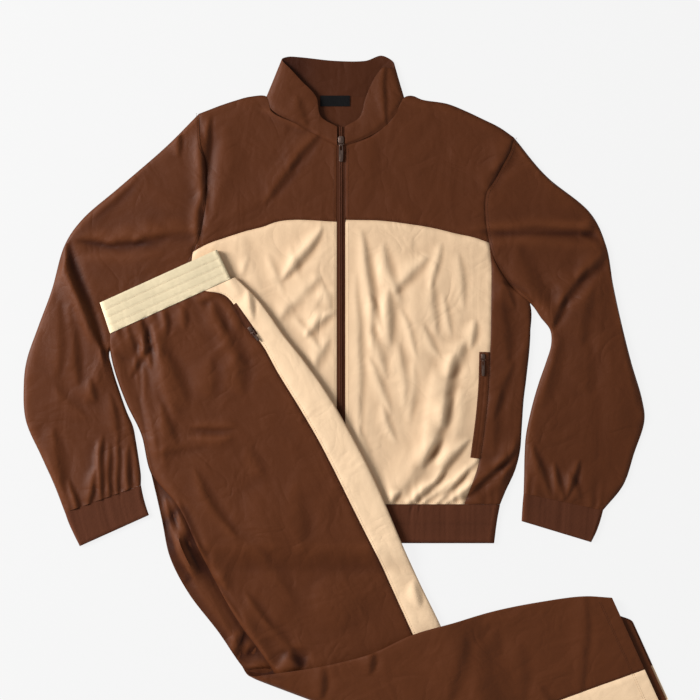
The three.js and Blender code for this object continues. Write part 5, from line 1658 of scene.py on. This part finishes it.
class TRACKSUIT_OT_stitching(bpy.types.Operator):
    """Rows of stitches beside the seams"""
    bl_idname = "tracksuit.stitching"
    bl_label = "Stitching"

    def execute(self, context):
        trim = context.scene.tracksuit_trim
        size = (trim.pitch, trim.stitch, 0.8, 0.55)
        brown, cream = [], []
        for line, offset in (
            (YOKE_RIGHT, 3.2), (YOKE_LEFT, -3.2), (ARM_RIGHT_UP, 3.4), (ARM_LEFT_UP, -3.4), (ARM_RIGHT_LOW, 3.4)
        ):
            brown += clear_of_trousers(on_jacket(line, offset))
        for x in (-ZIP_HALF - 4.5, ZIP_HALF + 4.5):
            brown += clear_of_trousers(on_jacket([[x, 590], [x, 540], [x, 488]]))
            cream += clear_of_trousers(on_jacket([[x, 478], [x, 300], [x, 62]]))
        for x in (-7.0, 7.0):
            brown.append(on_jacket(WELT_RIGHT, x * 0.9, 1.75, (0.02, 0.02)))
        cream += clear_of_trousers(on_jacket([[10, 61.5], [100, 61.5], [182, 61.5]]))
        sewn_rows("jacket_brown_stitches", brown, "stitch", *size, "brown thread", "brown_nylon")
        sewn_rows("jacket_cream_stitches", cream, "stitch", *size, "cream thread", "cream_nylon")

        def seam_line(offset, start, stop, height):
            d = np.linspace(start, stop, int((stop - start) / 4))
            a = leg_row(d)[3] + offset
            p = leg_point(a, d, height(a, d))
            p[:, 2] += STITCH_LIFT
            return p

        brown, cream, band = [], [], []
        brown.append(seam_line(-3.0, 60, KNEE_LINE + 180, left_top))
        cream.append(seam_line(3.0, 60, KNEE_LINE + 190, left_top))
        brown.append(seam_line(-3.0, KNEE_LINE + 262, HEM - 2, right_bottom))
        for inset in (18, 20.5):
            row = leg_row(np.array([HEM - inset]))
            a = np.linspace(row[1][0] + 4, row[4][0] - 4, 60)
            d = np.full(60, HEM - inset)
            p = leg_point(a, d, right_bottom(a, d))
            p[:, 2] += STITCH_LIFT
            seam = row[3][0]
            brown.append(p[a < seam - 1])
            cream.append(p[a > seam + 1])
        for k in BAND_ROWS:
            t = np.linspace(6, HALF_WAIST - 6, 90)
            d = np.full(90, BAND_LENGTH * k)
            p = leg_point(t * (1 + BAND_FLARE * k) - BAND_LEAN * k, d, np.full(90, STACK))
            p[:, 2] -= 0.1
            band.append(p)
        sewn_rows("trouser_brown_stitches", brown, "stitch", *size, "brown thread", "brown_nylon")
        sewn_rows("trouser_cream_stitches", cream, "stitch", *size, "cream thread", "cream_nylon")
        sewn_rows("waistband_stitches", band, "stitch", *size, "cream thread", "cream_band")
        return {"FINISHED"}


class TRACKSUIT_OT_stage(bpy.types.Operator):
    """Plain pale floor, soft lights and the camera straight above"""
    bl_idname = "tracksuit.stage"
    bl_label = "Stage"

    def execute(self, context):
        t = context.scene.tracksuit_stage
        mesh = bpy.data.meshes.new("floor")
        r, z = 6.0, -0.0003
        mesh.from_pydata([(-r, -r, z), (r, -r, z), (r, r, z), (-r, r, z)], [], [(0, 1, 2, 3)])
        floor = bpy.data.objects.new("floor", mesh)
        context.scene.collection.objects.link(floor)
        mesh.materials.append(paper_floor("floor surface", t.floor))
        for name, place, power, size in (
            ("key light", (-3.5, 1.0, 2.0), t.key, 1.6), ("fill light", (2.0, -0.8, 2.0), t.fill, 2.2)
        ):
            data = bpy.data.lights.new(name, "AREA")
            data.energy, data.shape, data.size = power, "SQUARE", size
            lamp = bpy.data.objects.new(name, data)
            lamp.location = place
            lamp.rotation_euler = (Vector((0, 0.05, 0)) - Vector(place)).to_track_quat("-Z", "Y").to_euler()
            context.scene.collection.objects.link(lamp)
        world = bpy.data.worlds.new("room")
        world.use_nodes = True
        back = world.node_tree.nodes["Background"]
        back.inputs[0].default_value = (1.0, 0.99, 0.975, 1.0)
        back.inputs[1].default_value = t.sky
        context.scene.world = world
        context.scene.view_settings.view_transform = "Standard"
        data = bpy.data.cameras.new("camera")
        data.lens = SENSOR * t.height / t.view
        data.sensor_width = SENSOR
        camera = bpy.data.objects.new("camera", data)
        camera.location = (
            (VIEW_CENTRE[0] - ORIGIN[0]) / 1000, (VIEW_CENTRE[1] - ORIGIN[1]) / 1000, t.height
        )
        context.scene.collection.objects.link(camera)
        context.scene.camera = camera
        return {"FINISHED"}


class TRACKSUIT_PT_pieces(bpy.types.Panel):
    """Lists the tracksuit's pieces and settings"""
    bl_idname = "TRACKSUIT_PT_pieces"
    bl_label = "Tracksuit"
    bl_space_type = "VIEW_3D"
    bl_region_type = "UI"
    bl_category = "Tracksuit"

    def draw(self, context):
        scene = context.scene
        for group in (scene.tracksuit_cloth, scene.tracksuit_trim, scene.tracksuit_stage):
            box = self.layout.box()
            for name in group.__annotations__:
                box.prop(group, name)
        for step in STEPS:
            self.layout.operator(step.bl_idname)


STEPS = (
    TRACKSUIT_OT_stage, TRACKSUIT_OT_jacket_body, TRACKSUIT_OT_sleeves, TRACKSUIT_OT_bands, TRACKSUIT_OT_collar,
    TRACKSUIT_OT_legs, TRACKSUIT_OT_waistband, TRACKSUIT_OT_zips, TRACKSUIT_OT_stitching,
)
GROUPS = {"tracksuit_cloth": TracksuitCloth, "tracksuit_trim": TracksuitTrim, "tracksuit_stage": TracksuitStage}


def register():
    for group in GROUPS.values():
        bpy.utils.register_class(group)
    for name, group in GROUPS.items():
        setattr(bpy.types.Scene, name, bpy.props.PointerProperty(type=group))
    for step in (*STEPS, TRACKSUIT_PT_pieces):
        bpy.utils.register_class(step)


def unregister():
    for step in reversed((*STEPS, TRACKSUIT_PT_pieces)):
        bpy.utils.unregister_class(step)
    for name, group in GROUPS.items():
        delattr(bpy.types.Scene, name)
        bpy.utils.unregister_class(group)


def main():
    register()
    for step in STEPS:
        group, call = step.bl_idname.split(".")
        getattr(getattr(bpy.ops, group), call)()


if __name__ == "__main__":
    main()
